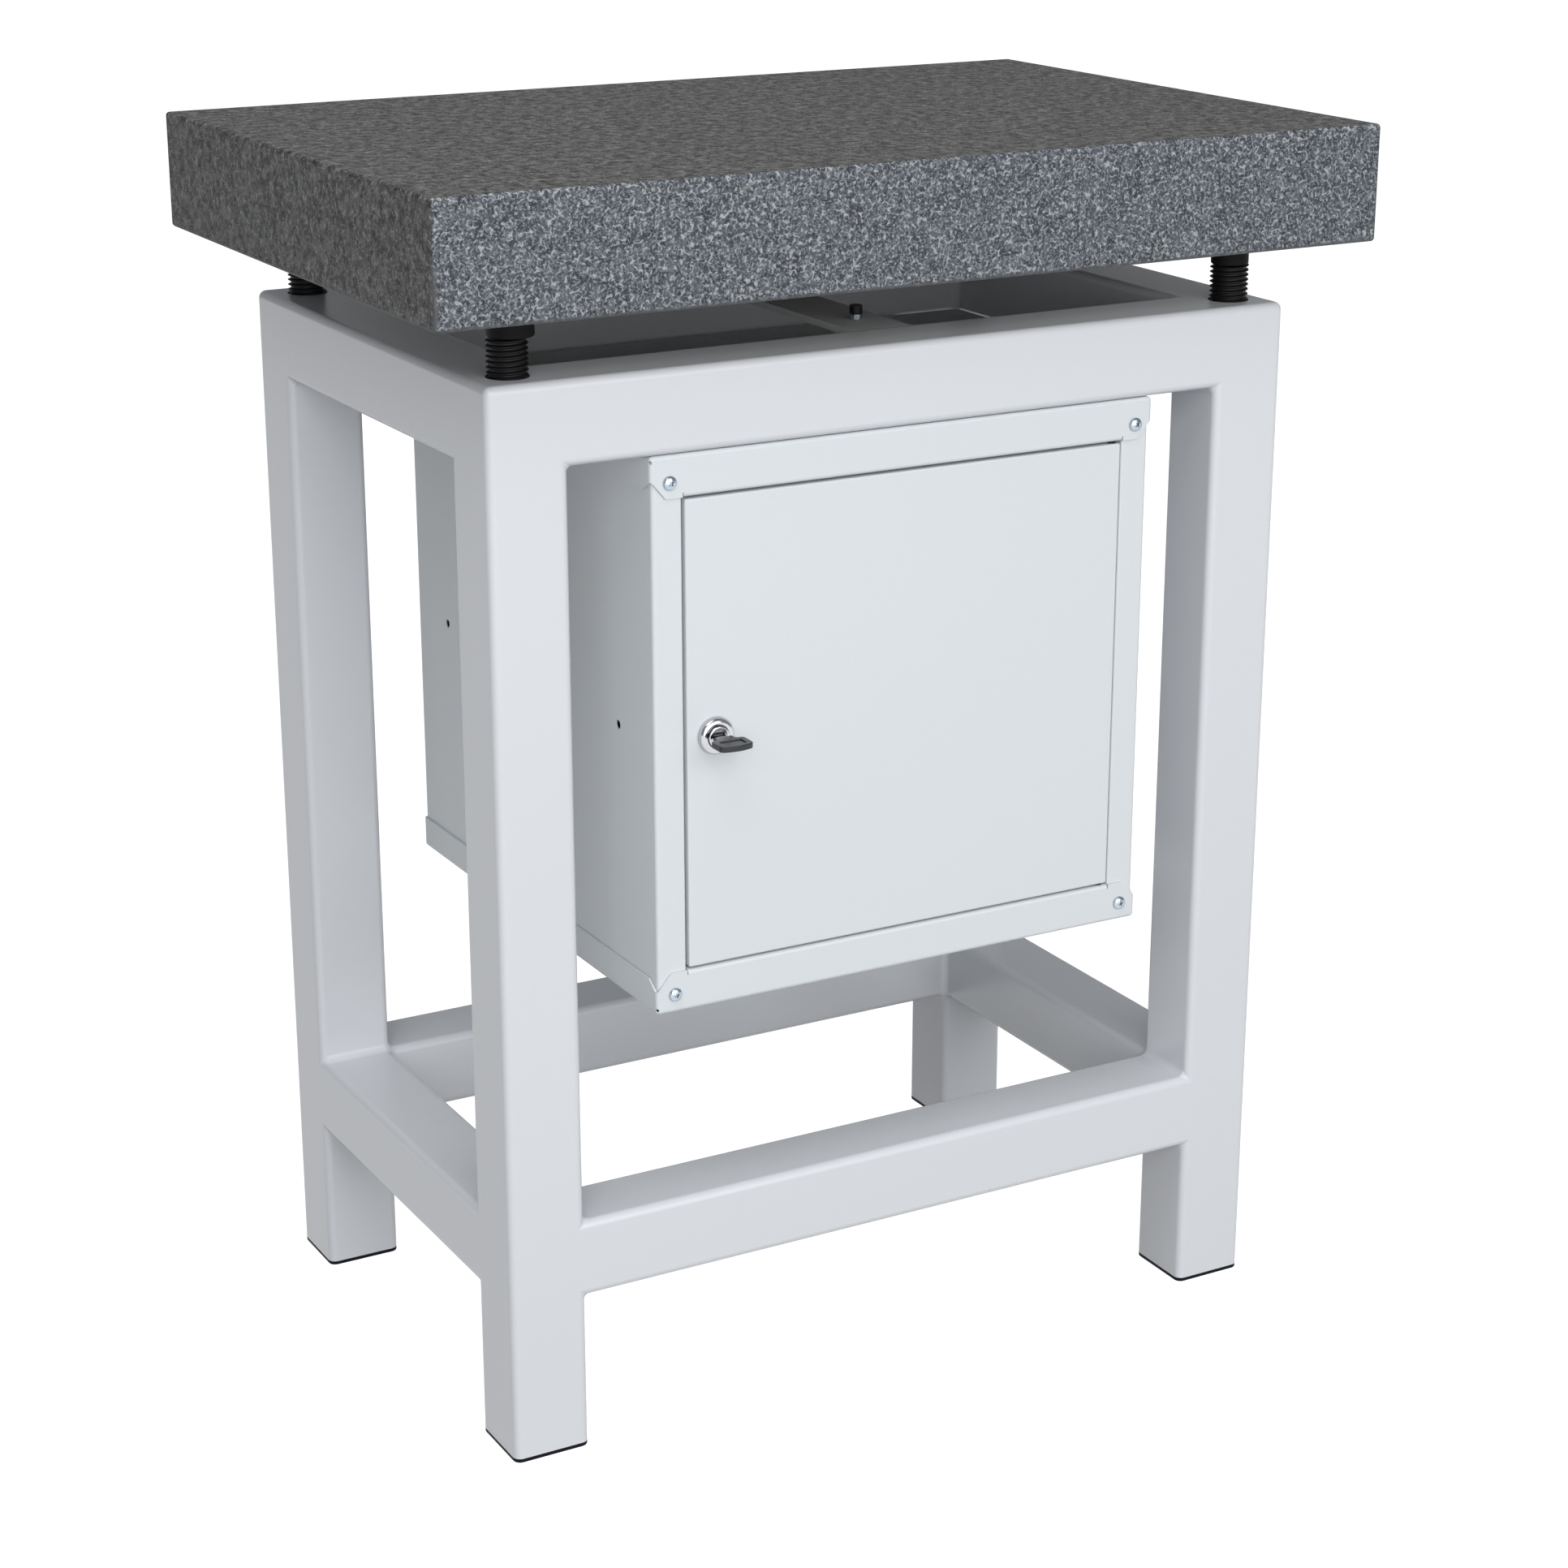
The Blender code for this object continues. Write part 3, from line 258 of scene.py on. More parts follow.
# %% Grain, marks and worn edges
BROAD_GRAIN = 0.31
WEAR_START = 0.999
WEAR_FULL = 0.93

grain_group, given, result = new_group("surface grain", {"Scale": 1000.0, "Softness": 0.5}, ["Height"])
fine = noise(grain_group, given["Scale"], 2.0)
broad_scale = arithmetic(grain_group, "MULTIPLY", given["Scale"], BROAD_GRAIN)
broad = noise(grain_group, broad_scale, 1.0)
mixed = grain_group.nodes.new("ShaderNodeMix")
grain_group.links.new(given["Softness"], mixed.inputs["Factor"])
grain_group.links.new(fine, mixed.inputs["A"])
grain_group.links.new(broad, mixed.inputs["B"])
grain_group.links.new(mixed.outputs["Result"], result["Height"])

marks_group, given, result = new_group("cloudy marks", {"Scale": 60.0, "Amount": 1.0}, ["Mask"])
cloud = noise(marks_group, given["Scale"], 1.0, 0.4)
patch = between(marks_group, cloud, 0.25, 0.85)
marks_group.links.new(arithmetic(marks_group, "MULTIPLY", patch, given["Amount"]), result["Mask"])

edge_group, given, result = new_group("worn edges", {"Width": 0.0008, "Breakup": 300.0}, ["Mask"])
bevel = edge_group.nodes.new("ShaderNodeBevel")
bevel.samples = 4
edge_group.links.new(given["Width"], bevel.inputs["Radius"])
plain = edge_group.nodes.new("ShaderNodeNewGeometry")
facing = edge_group.nodes.new("ShaderNodeVectorMath")
facing.operation = "DOT_PRODUCT"
edge_group.links.new(bevel.outputs["Normal"], facing.inputs[0])
edge_group.links.new(plain.outputs["Normal"], facing.inputs[1])
edge = between(edge_group, facing.outputs["Value"], WEAR_START, WEAR_FULL)
spots = noise(edge_group, given["Breakup"], 3.0)
ragged = between(edge_group, spots, 0.35, 0.6)
edge_group.links.new(arithmetic(edge_group, "MULTIPLY", edge, ragged), result["Mask"])
print("groups", [group.name for group in bpy.data.node_groups])

# %% [markdown]
# ## Materials
#
# Each finish starts as one Principled shader. A value that is the same all over is set on the
# shader's own socket. Colour, roughness and bump vary over the surface, by the groups above.

# %% Material helpers
def add_group(material, group, **values):
    """Places a node group in a material, with its own values."""
    node = material.node_tree.nodes.new("ShaderNodeGroup")
    node.node_tree = group
    for socket, value in values.items():
        node.inputs[socket].default_value = value
    return node


def tint(material, mask, colour, other):
    """A colour that goes from one to another by a mask. Each may be a plain colour or a socket."""
    tree = material.node_tree
    node = tree.nodes.new("ShaderNodeMix")
    node.data_type = "RGBA"
    for socket, term in (("A", colour), ("B", other)):
        if isinstance(term, tuple):
            node.inputs[socket].default_value = (*term, 1)
        else:
            tree.links.new(term, node.inputs[socket])
    tree.links.new(mask, node.inputs["Factor"])
    return node.outputs["Result"]


def bump(material, height, distance):
    """A bump from a height mask."""
    node = material.node_tree.nodes.new("ShaderNodeBump")
    node.inputs["Distance"].default_value = distance
    node.inputs["Strength"].default_value = 1.0
    material.node_tree.links.new(height, node.inputs["Height"])
    return node.outputs["Normal"]


def finish_material(name, colour, roughness, metallic=0.0):
    """A Principled material with plain values, and its shader."""
    material, nodes, links, output = new_material(name)
    shader = nodes.new("ShaderNodeBsdfPrincipled")
    shader.inputs["Base Color"].default_value = (*colour, 1)
    shader.inputs["Roughness"].default_value = roughness
    shader.inputs["Metallic"].default_value = metallic
    links.new(shader.outputs[0], output.inputs["Surface"])
    return material, shader


# %% Painted steel
def painted(name, colour, shaded_dimples, roughness, grain_scale, grain_depth):
    """Powder coat: an even colour and a fine orange-peel skin, with painted shade in its dimples."""
    material, shader = finish_material(name, colour, roughness)
    tree = material.node_tree
    peel = add_group(material, grain_group, Scale=grain_scale, Softness=0.6)
    # The peel's low parts take the darker colour: painted shade in the dimples.
    tree.links.new(tint(material, peel.outputs["Height"], shaded_dimples, colour), shader.inputs["Base Color"])
    tree.links.new(bump(material, peel.outputs["Height"], grain_depth), shader.inputs["Normal"])
    return material


# Colour, darker colour painted as shade in the dimples, roughness, scale and depth of the peel.
PAINTS = {
    "stand paint": ((0.705, 0.722, 0.757), (0.690, 0.706, 0.738), 0.26, 420.0, 0.00005),
    "cabinet paint": ((0.705, 0.740, 0.765), (0.690, 0.724, 0.746), 0.38, 900.0, 0.00004),
    "matt undercoat": ((0.66, 0.67, 0.68), (0.62, 0.62, 0.62), 0.90, 700.0, 0.00006),
}
stand_look, cabinet_look, primer_look = (painted(name, *values) for name, values in PAINTS.items())

# %% Metals, plastic and rubber
def metal(name, colour, scratched, roughness, scale):
    """Bare or plated steel, with fine grain in its gloss."""
    material, shader = finish_material(name, colour, roughness, 1.0)
    tree = material.node_tree
    grain = add_group(material, grain_group, Scale=scale, Softness=0.4)
    rough = between(tree, grain.outputs["Height"], 0.3, 0.7, roughness * 0.8, roughness * 1.25)
    tree.links.new(rough, shader.inputs["Roughness"])
    marks = add_group(material, marks_group, Scale=60.0, Amount=0.8)
    tree.links.new(tint(material, marks.outputs["Mask"], colour, scratched), shader.inputs["Base Color"])
    return material


def dark_finish(name, colour, worn, roughness, gloss, wear_width, grain_scale, grain_depth):
    """Black plastic, rubber or oxide: a fine grain, and edges rubbed paler."""
    material, shader = finish_material(name, colour, roughness)
    shader.inputs["Specular IOR Level"].default_value = gloss
    tree = material.node_tree
    edges = add_group(material, edge_group, Width=wear_width, Breakup=600.0)
    tree.links.new(tint(material, edges.outputs["Mask"], colour, worn), shader.inputs["Base Color"])
    grain = add_group(material, grain_group, Scale=grain_scale, Softness=0.3)
    tree.links.new(bump(material, grain.outputs["Height"], grain_depth), shader.inputs["Normal"])
    return material


# Colour, scratched patches, roughness and scale of the grain.
METALS = {
    "bright zinc": ((0.50, 0.57, 0.63), (0.40, 0.46, 0.52), 0.26, 1500.0),
    "chrome": ((0.60, 0.60, 0.63), (0.52, 0.52, 0.55), 0.14, 900.0),
    "machined steel": ((0.42, 0.42, 0.43), (0.34, 0.33, 0.33), 0.38, 1200.0),
}
zinc_look, chrome_look, steel_look = (metal(name, *values) for name, values in METALS.items())

# Colour, worn colour, roughness, gloss, width of the worn edges, scale and depth of the grain.
DARK_FINISHES = {
    "black plastic": ((0.004, 0.004, 0.010), (0.02, 0.02, 0.03), 0.55, 0.10, 0.0006, 1800.0, 0.00003),
    "black rubber": ((0.008, 0.008, 0.009), (0.016, 0.016, 0.016), 0.60, 0.10, 0.0004, 2200.0, 0.00005),
    "black oxide": ((0.009, 0.009, 0.010), (0.030, 0.030, 0.030), 0.45, 0.20, 0.0002, 2200.0, 0.00003),
    "dark key plastic": ((0.013, 0.014, 0.020), (0.05, 0.05, 0.06), 0.26, 0.5, 0.0003, 2600.0, 0.00001),
}
plastic_look, rubber_look, black_look, key_look = (
    dark_finish(name, *values) for name, values in DARK_FINISHES.items())

# %% [markdown]
# ## Granite
#
# Up close, this granite is a fine tangle of dark grains with pale flakes among them, one or two
# millimetres thick and curled like short worms. Thin curved flakes can be had from a noise: where
# it crosses its middle value, it draws a curved line, and a second noise breaks the line into short
# pieces. Two such layers, at two scales, lie on a mottled ground.
#
# The faces differ. The long sides are ground, so they look bluish and their flakes stand out. The
# top is lapped smooth and dark, and the ends are darker and warmer. The places of the faces are
# known, so Object coordinates tell them apart.

# %% Granite flakes
NOISE_MIDDLE = 0.5
LINE_CORE = 0.05
BREAK_SCALE = 1.3
BREAK_SHIFT = (3.1, 7.7, 1.9)
BREAK_SOFTNESS = (-0.06, 0.08)

flake_inputs = {"Scale": 300.0, "Width": 0.03, "Share": 0.5}
flake_group, given, result = new_group("granite flakes", flake_inputs, ["Mask"])
field = noise(flake_group, given["Scale"], 1.0, 0.4)
away = arithmetic(flake_group, "ABSOLUTE", arithmetic(flake_group, "SUBTRACT", field, NOISE_MIDDLE))
core = arithmetic(flake_group, "MULTIPLY", given["Width"], LINE_CORE)
line = between(flake_group, away, given["Width"], core)
break_scale = arithmetic(flake_group, "MULTIPLY", given["Scale"], BREAK_SCALE)
shift = flake_group.nodes.new("ShaderNodeVectorMath")
shift.operation = "ADD"
shift.inputs[1].default_value = BREAK_SHIFT
flake_group.links.new(flake_group.nodes.new("ShaderNodeTexCoord").outputs["Object"], shift.inputs[0])
pieces = noise(flake_group, break_scale, 1.0, 0.5, shift.outputs[0])
kept = between(flake_group, arithmetic(flake_group, "SUBTRACT", pieces, given["Share"]), *BREAK_SOFTNESS)
flake_group.links.new(arithmetic(flake_group, "MULTIPLY", line, kept), result["Mask"])

# %% Granite material
GRANITE_DARK = (0.028, 0.032, 0.041)
GRANITE_MID = (0.106, 0.118, 0.143)
GRANITE_PALE = (0.39, 0.41, 0.42)
LAPPED_DARK = (0.013, 0.011, 0.010)
LAPPED_PALE = (0.29, 0.275, 0.265)
END_DARK = (0.012, 0.011, 0.011)
END_PALE = (0.33, 0.33, 0.33)
CHAMFER_TONE = (0.095, 0.098, 0.106)
CHAMFER = 0.0025
FACE_SKIN = 0.0002
LARGE_FLAKES = {"Scale": 270.0, "Width": 0.100, "Share": 0.52}
SMALL_FLAKES = {"Scale": 460.0, "Width": 0.120, "Share": 0.49}
SMALL_FLAKE_TONE = 0.55
MOTTLE = (0.36, 0.66)
END_SPECKLE = (0.55, 0.35)
LAPPED_SPECKLE = (0.6, 0.5)
CHAMFER_SHARE = 0.75
GRANITE_RELIEF = 0.00004
GRANITE_GLOSS = 0.25
GROUND_ROUGHNESS = 0.62
LAPPED_POLISH = 0.20


def inside_face(tree, coordinate, low, high):
    """How far a point lies inside the nearer of two opposite faces."""
    centre = (low + high) / 2
    off = arithmetic(tree, "ABSOLUTE", arithmetic(tree, "SUBTRACT", coordinate, centre))
    return arithmetic(tree, "SUBTRACT", (high - low) / 2, off)


def speckle(shares):
    """A speckle of the flakes and the cloud, each with its share."""
    of_flakes, of_cloud = shares
    clouded = arithmetic(tree, "MULTIPLY", cloud, of_cloud)
    return arithmetic(tree, "MULTIPLY_ADD", flakes, of_flakes, clouded)


plate_low, plate_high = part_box("granite_plate")
granite_look, shader = finish_material("granite", GRANITE_MID, GROUND_ROUGHNESS)
shader.inputs["Specular IOR Level"].default_value = GRANITE_GLOSS
tree = granite_look.node_tree
place = tree.nodes.new("ShaderNodeSeparateXYZ")
tree.links.new(tree.nodes.new("ShaderNodeTexCoord").outputs["Object"], place.inputs[0])
from_end, from_side, from_flat = (
    inside_face(tree, place.outputs[axis], plate_low[axis], plate_high[axis]) for axis in range(3))
is_flat = arithmetic(tree, "LESS_THAN", from_flat, FACE_SKIN)
is_end = arithmetic(tree, "LESS_THAN", from_end, from_side)
least = arithmetic(tree, "MINIMUM", from_end, from_side)
most = arithmetic(tree, "MAXIMUM", from_end, from_side)
second = arithmetic(tree, "MAXIMUM", least, arithmetic(tree, "MINIMUM", most, from_flat))
is_chamfer = between(tree, second, CHAMFER, CHAMFER * 0.7)
is_low = arithmetic(tree, "LESS_THAN", place.outputs[2], (plate_low.z + plate_high.z) / 2)

mottle = add_group(granite_look, grain_group, Scale=700.0, Softness=0.45)
ground = between(tree, mottle.outputs["Height"], *MOTTLE)
large = add_group(granite_look, flake_group, **LARGE_FLAKES)
small = add_group(granite_look, flake_group, **SMALL_FLAKES)
cloud = add_group(granite_look, marks_group, Scale=150.0, Amount=1.0).outputs["Mask"]
faint = arithmetic(tree, "MULTIPLY", small.outputs["Mask"], SMALL_FLAKE_TONE)
flakes = arithmetic(tree, "MAXIMUM", large.outputs["Mask"], faint)
side_tone = tint(granite_look, flakes, tint(granite_look, ground, GRANITE_DARK, GRANITE_MID), GRANITE_PALE)
end_tone = tint(granite_look, speckle(END_SPECKLE), END_DARK, END_PALE)
lapped_tone = tint(granite_look, speckle(LAPPED_SPECKLE), LAPPED_DARK, LAPPED_PALE)
stone_tone = tint(granite_look, is_end, side_tone, end_tone)
stone_tone = tint(granite_look, is_flat, stone_tone, lapped_tone)
softened = arithmetic(tree, "MULTIPLY", arithmetic(tree, "MULTIPLY", is_chamfer, is_low), CHAMFER_SHARE)
tree.links.new(tint(granite_look, softened, stone_tone, CHAMFER_TONE), shader.inputs["Base Color"])
polish = arithmetic(tree, "MULTIPLY", is_flat, LAPPED_POLISH)
tree.links.new(arithmetic(tree, "SUBTRACT", GROUND_ROUGHNESS, polish), shader.inputs["Roughness"])
rough_parts = arithmetic(tree, "SUBTRACT", 1.0, arithmetic(tree, "MAXIMUM", is_flat, is_chamfer))
relief = arithmetic(tree, "MULTIPLY", arithmetic(tree, "ADD", flakes, ground), rough_parts)
tree.links.new(bump(granite_look, relief, GRANITE_RELIEF), shader.inputs["Normal"])
print("materials", sorted(material.name for material in bpy.data.materials))

# %% [markdown]
# ## Shape helpers
#
# Every new piece is a bmesh that starts from a simple shape and is worked by operators. `publish`
# turns it into an object that rides on its CAD body and stands for the CAD nodes that it replaces.

# %% Shape helpers
SMOOTH_ANGLE = math.radians(32)
MERGE = 0.00001
FIT = 0.0003


def publish(name, shape, look, body, stands_for):
    """Makes a piece from a bmesh. Its place is in its mesh, and the object stays at the origin."""
    mesh = bpy.data.meshes.new(name)
    shape.to_mesh(mesh)
    shape.free()
    mesh.shade_smooth()
    mesh.set_sharp_from_angle(angle=SMOOTH_ANGLE)
    mesh.materials.clear()
    mesh.materials.append(look)
    piece = bpy.data.objects.new(name, mesh)
    bpy.context.scene.collection.objects.link(piece)
    even = piece.modifiers.new("Even shading", "WEIGHTED_NORMAL")
    even.keep_sharp = True
    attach(piece, body)
    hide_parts(*stands_for)
    print(name, len(mesh.polygons), "faces")


def block(shape, low, high):
    """Adds a block between two opposite corners, and gives its corners."""
    size = Vector(high) - Vector(low)
    matrix = Matrix.Translation((Vector(low) + Vector(high)) / 2) @ Matrix.Diagonal((*size, 1))
    return bmesh.ops.create_cube(shape, size=1, matrix=matrix)["verts"]


def only(items, kind):
    """The items of one kind: corners, edges or faces."""
    return [item for item in items if isinstance(item, kind)]


def whole(shape):
    """All corners, edges and faces."""
    return shape.verts[:] + shape.edges[:] + shape.faces[:]


def round_edges(shape, edges, radius, segments):
    """Bevels edges to a round."""
    bmesh.ops.bevel(shape, geom=edges, offset=radius, offset_type="OFFSET", affect="EDGES",
                    segments=segments, profile=0.5, material=-1, clamp_overlap=True)


def outlined(profile, closed=False):
    """A bmesh of a line through radius and height points, and the line's corners and edges."""
    shape = bmesh.new()
    line = [shape.verts.new((radius, 0, height)) for radius, height in profile]
    pairs = zip(line, line[1:] + line[:1] if closed else line[1:])
    return shape, line + [shape.edges.new(pair) for pair in pairs]


def turned(profile, steps, closed=False):
    """Spins radius and height points about the Z axis. A closed section stays off the axis."""
    shape, line = outlined(profile, closed)
    bmesh.ops.spin(shape, geom=line, cent=(0, 0, 0), axis=(0, 0, 1), dvec=(0, 0, 0),
                   angle=2 * math.pi, steps=steps, use_merge=True, use_duplicate=False)
    bmesh.ops.remove_doubles(shape, verts=shape.verts, dist=MERGE)
    bmesh.ops.recalc_face_normals(shape, faces=shape.faces)
    return shape


def arc(radius, rise, centre_radius, centre_height, steps):
    """Points of a quarter round, from its side up to its top."""
    turns = [step / steps * math.pi / 2 for step in range(steps + 1)]
    return [(centre_radius + radius * math.cos(turn), centre_height + rise * math.sin(turn))
            for turn in turns]


def rod(shape, start, end, radius, steps=24):
    """Adds a round bar between two points."""
    way = Vector(end) - Vector(start)
    turn = way.to_track_quat("Z", "Y").to_matrix().to_4x4()
    matrix = Matrix.Translation((Vector(start) + Vector(end)) / 2) @ turn
    bmesh.ops.create_cone(shape, cap_ends=True, segments=steps, radius1=radius, radius2=radius,
                          depth=way.length, matrix=matrix)


def stood(shape, place, axis="Z"):
    """Lays a shape made along Z along another axis, then moves it to its place."""
    about = {"-Y": "X", "X": "Y"}.get(axis)
    if about:
        quarter = Matrix.Rotation(math.pi / 2, 3, about)
        bmesh.ops.rotate(shape, cent=(0, 0, 0), matrix=quarter, verts=shape.verts)
    bmesh.ops.translate(shape, vec=place, verts=shape.verts)
    return shape


def worked(shape, thickness=0.0, cut=(), add=()):
    """Thickens a surface inwards, joins and cuts other shapes, and gives the new bmesh."""
    parts = []
    for item in (shape, *add, *cut):
        mesh = bpy.data.meshes.new("work")
        item.to_mesh(mesh)
        item.free()
        parts.append(bpy.data.objects.new("work", mesh))
        bpy.context.scene.collection.objects.link(parts[-1])
    piece = parts[0]
    if thickness:
        solid = piece.modifiers.new("Sheet", "SOLIDIFY")
        solid.thickness = thickness
        solid.offset = -1
        solid.use_even_offset = True
    for index, tool in enumerate(parts[1:]):
        boolean = piece.modifiers.new("Work", "BOOLEAN")
        boolean.operation = "UNION" if index < len(add) else "DIFFERENCE"
        boolean.solver = "EXACT"
        boolean.object = tool
    done = bmesh.new()
    done.from_object(piece, bpy.context.evaluated_depsgraph_get())
    for item in parts:
        mesh = item.data
        bpy.data.objects.remove(item)
        bpy.data.meshes.remove(mesh)
    return done


def middle_of(node):
    """The middle of a CAD node's box."""
    low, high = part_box(node)
    return (low + high) / 2


# %% [markdown]
# ## The welded stand
#
# On the real stand the tubes are welded, ground flush and painted as one, so no joint shows: only
# soft edges, also in the corners where a rail meets a leg. Twelve separate tubes would show a seam
# at each end. So one skin stands for all twelve: the legs start as blocks, are cut where the rails
# meet them, and each pair of facing squares is bridged to make a rail. One bevel rounds them all.
# A round bore then goes down into each leg's top, where its levelling screw stands.

# %% Stand helpers
EDGE_RADIUS = 0.005
EDGE_SEGMENTS = 6
BORE_RIM = 0.0004

ENDS = ("front", "rear")
SIDES = ("left", "right")
CORNERS = [(end, side) for end in ENDS for side in SIDES]
LEGS = [f"leg_{end}_{side}" for end, side in CORNERS]
RAILS = [f"{kind}_{place}" for kind in ("top_rail", "stretcher") for place in ENDS + SIDES]
BLOCKS = [f"nut_block_{end}_{side}" for end, side in CORNERS]


def facing_square(shape, at, normal):
    """The face whose middle is at a place and which looks along a direction."""
    return min(shape.faces, key=lambda face: (face.calc_center_median() - at).length
               + (face.normal - normal).length)


def span(shape, start, end):
    """Joins two squares that face each other by four sides, and takes the squares away."""
    way = (end - start).normalized()
    squares = [facing_square(shape, start, way), facing_square(shape, end, -way)]
    edges = [edge for face in squares for edge in face.edges]
    bmesh.ops.delete(shape, geom=squares, context="FACES_ONLY")
    bmesh.ops.bridge_loops(shape, edges=edges)
    shape.normal_update()


def sink_bore(shape, top, radius, depth, steps):
    """Sinks a round bore with a flat bottom in a flat face that looks up."""
    face = facing_square(shape, top, Vector((0, 0, 1)))
    rim = face.edges[:]
    bmesh.ops.delete(shape, geom=[face], context="FACES_ONLY")
    mouth = bmesh.ops.create_circle(shape, cap_ends=False, radius=radius, segments=steps,
                                    matrix=Matrix.Translation(top))["verts"]
    lip = list(dict.fromkeys(edge for vert in mouth for edge in vert.link_edges))
    bmesh.ops.bridge_loops(shape, edges=rim + lip)
    wall = bmesh.ops.extrude_edge_only(shape, edges=lip)["geom"]
    floor_verts = only(wall, bmesh.types.BMVert)
    bmesh.ops.translate(shape, vec=(0, 0, -depth), verts=floor_verts)
    floor_edges = [edge for edge in only(wall, bmesh.types.BMEdge)
                   if all(vert in floor_verts for vert in edge.verts)]
    bmesh.ops.edgeloop_fill(shape, edges=floor_edges)
    round_edges(shape, lip, BORE_RIM, 2)


# %% Stand
BORE_RADIUS = 0.0130
BORE_DEPTH = 0.060
BORE_STEPS = 48

skin = bmesh.new()
for leg in LEGS:
    block(skin, *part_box(leg))
rail_levels = [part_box(node)[end].z for node in ("top_rail_front", "stretcher_front") for end in (0, 1)]
for level in rail_levels:
    bmesh.ops.bisect_plane(skin, geom=whole(skin), plane_co=(0, 0, level), plane_no=(0, 0, 1))
skin.normal_update()
leg_low, leg_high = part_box("leg_front_left")
inner_x, inner_y = abs(leg_high.x), abs(leg_high.y)
for kind in ("top_rail", "stretcher"):
    level = middle_of(f"{kind}_front").z
    for end in ENDS:
        y = middle_of(f"leg_{end}_left").y
        span(skin, Vector((-inner_x, y, level)), Vector((inner_x, y, level)))
    for side in SIDES:
        x = middle_of(f"leg_front_{side}").x
        span(skin, Vector((x, -inner_y, level)), Vector((x, inner_y, level)))
bmesh.ops.recalc_face_normals(skin, faces=skin.faces)
bottom = leg_low.z + MERGE
bends = [edge for edge in skin.edges if edge.calc_face_angle(0) > 1
         and not all(vert.co.z < bottom for vert in edge.verts)]
round_edges(skin, bends, EDGE_RADIUS, EDGE_SEGMENTS)
skin.normal_update()
for leg in LEGS:
    middle = middle_of(leg)
    sink_bore(skin, Vector((middle.x, middle.y, leg_high.z)), BORE_RADIUS, BORE_DEPTH, BORE_STEPS)
bmesh.ops.recalc_face_normals(skin, faces=skin.faces)
publish("stand_frame", skin, stand_look, "stand", LEGS + RAILS + BLOCKS)

# %% [markdown]
# ## Levelling screws
#
# A thread is one groove wound round a bar. Spinning a saw-tooth profile about the axis, while it
# rises by one pitch, gives that groove: after a full turn each tooth meets its neighbour, and the
# doubles are merged. The ends are then cut flat.

# %% Levelling screws
PITCH = 0.003
THREAD_DEPTH = 0.00184
THREAD_STEPS = 48
TOOTH = ((0, 0.0), (0, 0.125), (1, 0.4375), (1, 0.6875))


def threaded(radius, low, high):
    """A threaded bar about the Z axis between two levels."""
    tooth = [(radius - THREAD_DEPTH * depth, share) for depth, share in TOOTH]
    turns = int((high - low) / PITCH) + 3
    profile = [(r, low + (turn - 1 + share) * PITCH) for turn in range(turns) for r, share in tooth]
    shape, line = outlined(profile)
    bmesh.ops.spin(shape, geom=line, cent=(0, 0, 0), axis=(0, 0, 1), dvec=(0, 0, PITCH / THREAD_STEPS),
                   angle=2 * math.pi, steps=THREAD_STEPS, use_merge=False, use_duplicate=False)
    bmesh.ops.remove_doubles(shape, verts=shape.verts, dist=MERGE)
    for level, up in ((low, -1), (high, 1)):
        bmesh.ops.bisect_plane(shape, geom=whole(shape), dist=1e-6, plane_co=(0, 0, level),
                               plane_no=(0, 0, up), clear_outer=True)
    rims = [edge for edge in shape.edges if edge.is_boundary]
    for upper in (True, False):
        rim = [edge for edge in rims if (edge.verts[0].co.z > (low + high) / 2) == upper]
        bmesh.ops.contextual_create(shape, geom=rim)
    bmesh.ops.recalc_face_normals(shape, faces=shape.faces)
    return shape


for end, side in CORNERS:
    node = f"levelling_screw_{end}_{side}"
    low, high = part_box(node)
    middle = middle_of(node)
    screw = stood(threaded((high.x - low.x) / 2, low.z, high.z), (middle.x, middle.y, 0))
    publish(f"thread_{end}_{side}", screw, black_look, f"screw_{end}_{side}", [node])

# %% [markdown]
# ## Pads and foot caps
#
# A rubber pad lies between each screw and the plate: one turned profile with soft rims. A foot cap
# is moulded in one piece, a flange under the leg and a hollow plug inside it, so it is grown from
# one square: extrude, inset and extrude again, the last time downwards.

# %% Pads
PAD_ROUND = 0.0012
PAD_STEPS = 64

for end, side in CORNERS:
    node = f"pad_{end}_{side}"
    low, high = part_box(node)
    radius = (high.x - low.x) / 2
    height = high.z - low.z
    inner = radius - PAD_ROUND
    upper = arc(PAD_ROUND, PAD_ROUND, inner, height - PAD_ROUND, 4)
    lower = [(r, height - z) for r, z in reversed(upper)]
    pad = turned([(0, 0)] + lower + upper + [(0, height)], PAD_STEPS)
    middle = middle_of(node)
    pad = stood(pad, (middle.x, middle.y, low.z))
    publish(f"rubber_{node}", pad, rubber_look, "plate", [node])

# %% Foot caps
CAP_CORNER = 0.005
CAP_FLANGE = 0.0025
CAP_RIM = 0.0008
CAP_STEP = 0.0034
CAP_WALL = 0.0017
CAP_SOLE = 0.006
CAP_SOLE_DEPTH = 0.0006


def grow(shape, faces, height):
    """Extrudes flat faces of a solid along Z, and gives the far faces."""
    grown = bmesh.ops.extrude_face_region(shape, geom=faces)["geom"]
    bmesh.ops.delete(shape, geom=faces, context="FACES_ONLY")
    bmesh.ops.translate(shape, vec=(0, 0, height), verts=only(grown, bmesh.types.BMVert))
    shape.normal_update()
    return only(grown, bmesh.types.BMFace)


def flat_faces(shape, level, up):
    """The flat faces at a level that look up or down."""
    return [face for face in shape.faces if face.normal.z * up > 0.99
            and abs(face.calc_center_median().z - level) < MERGE]


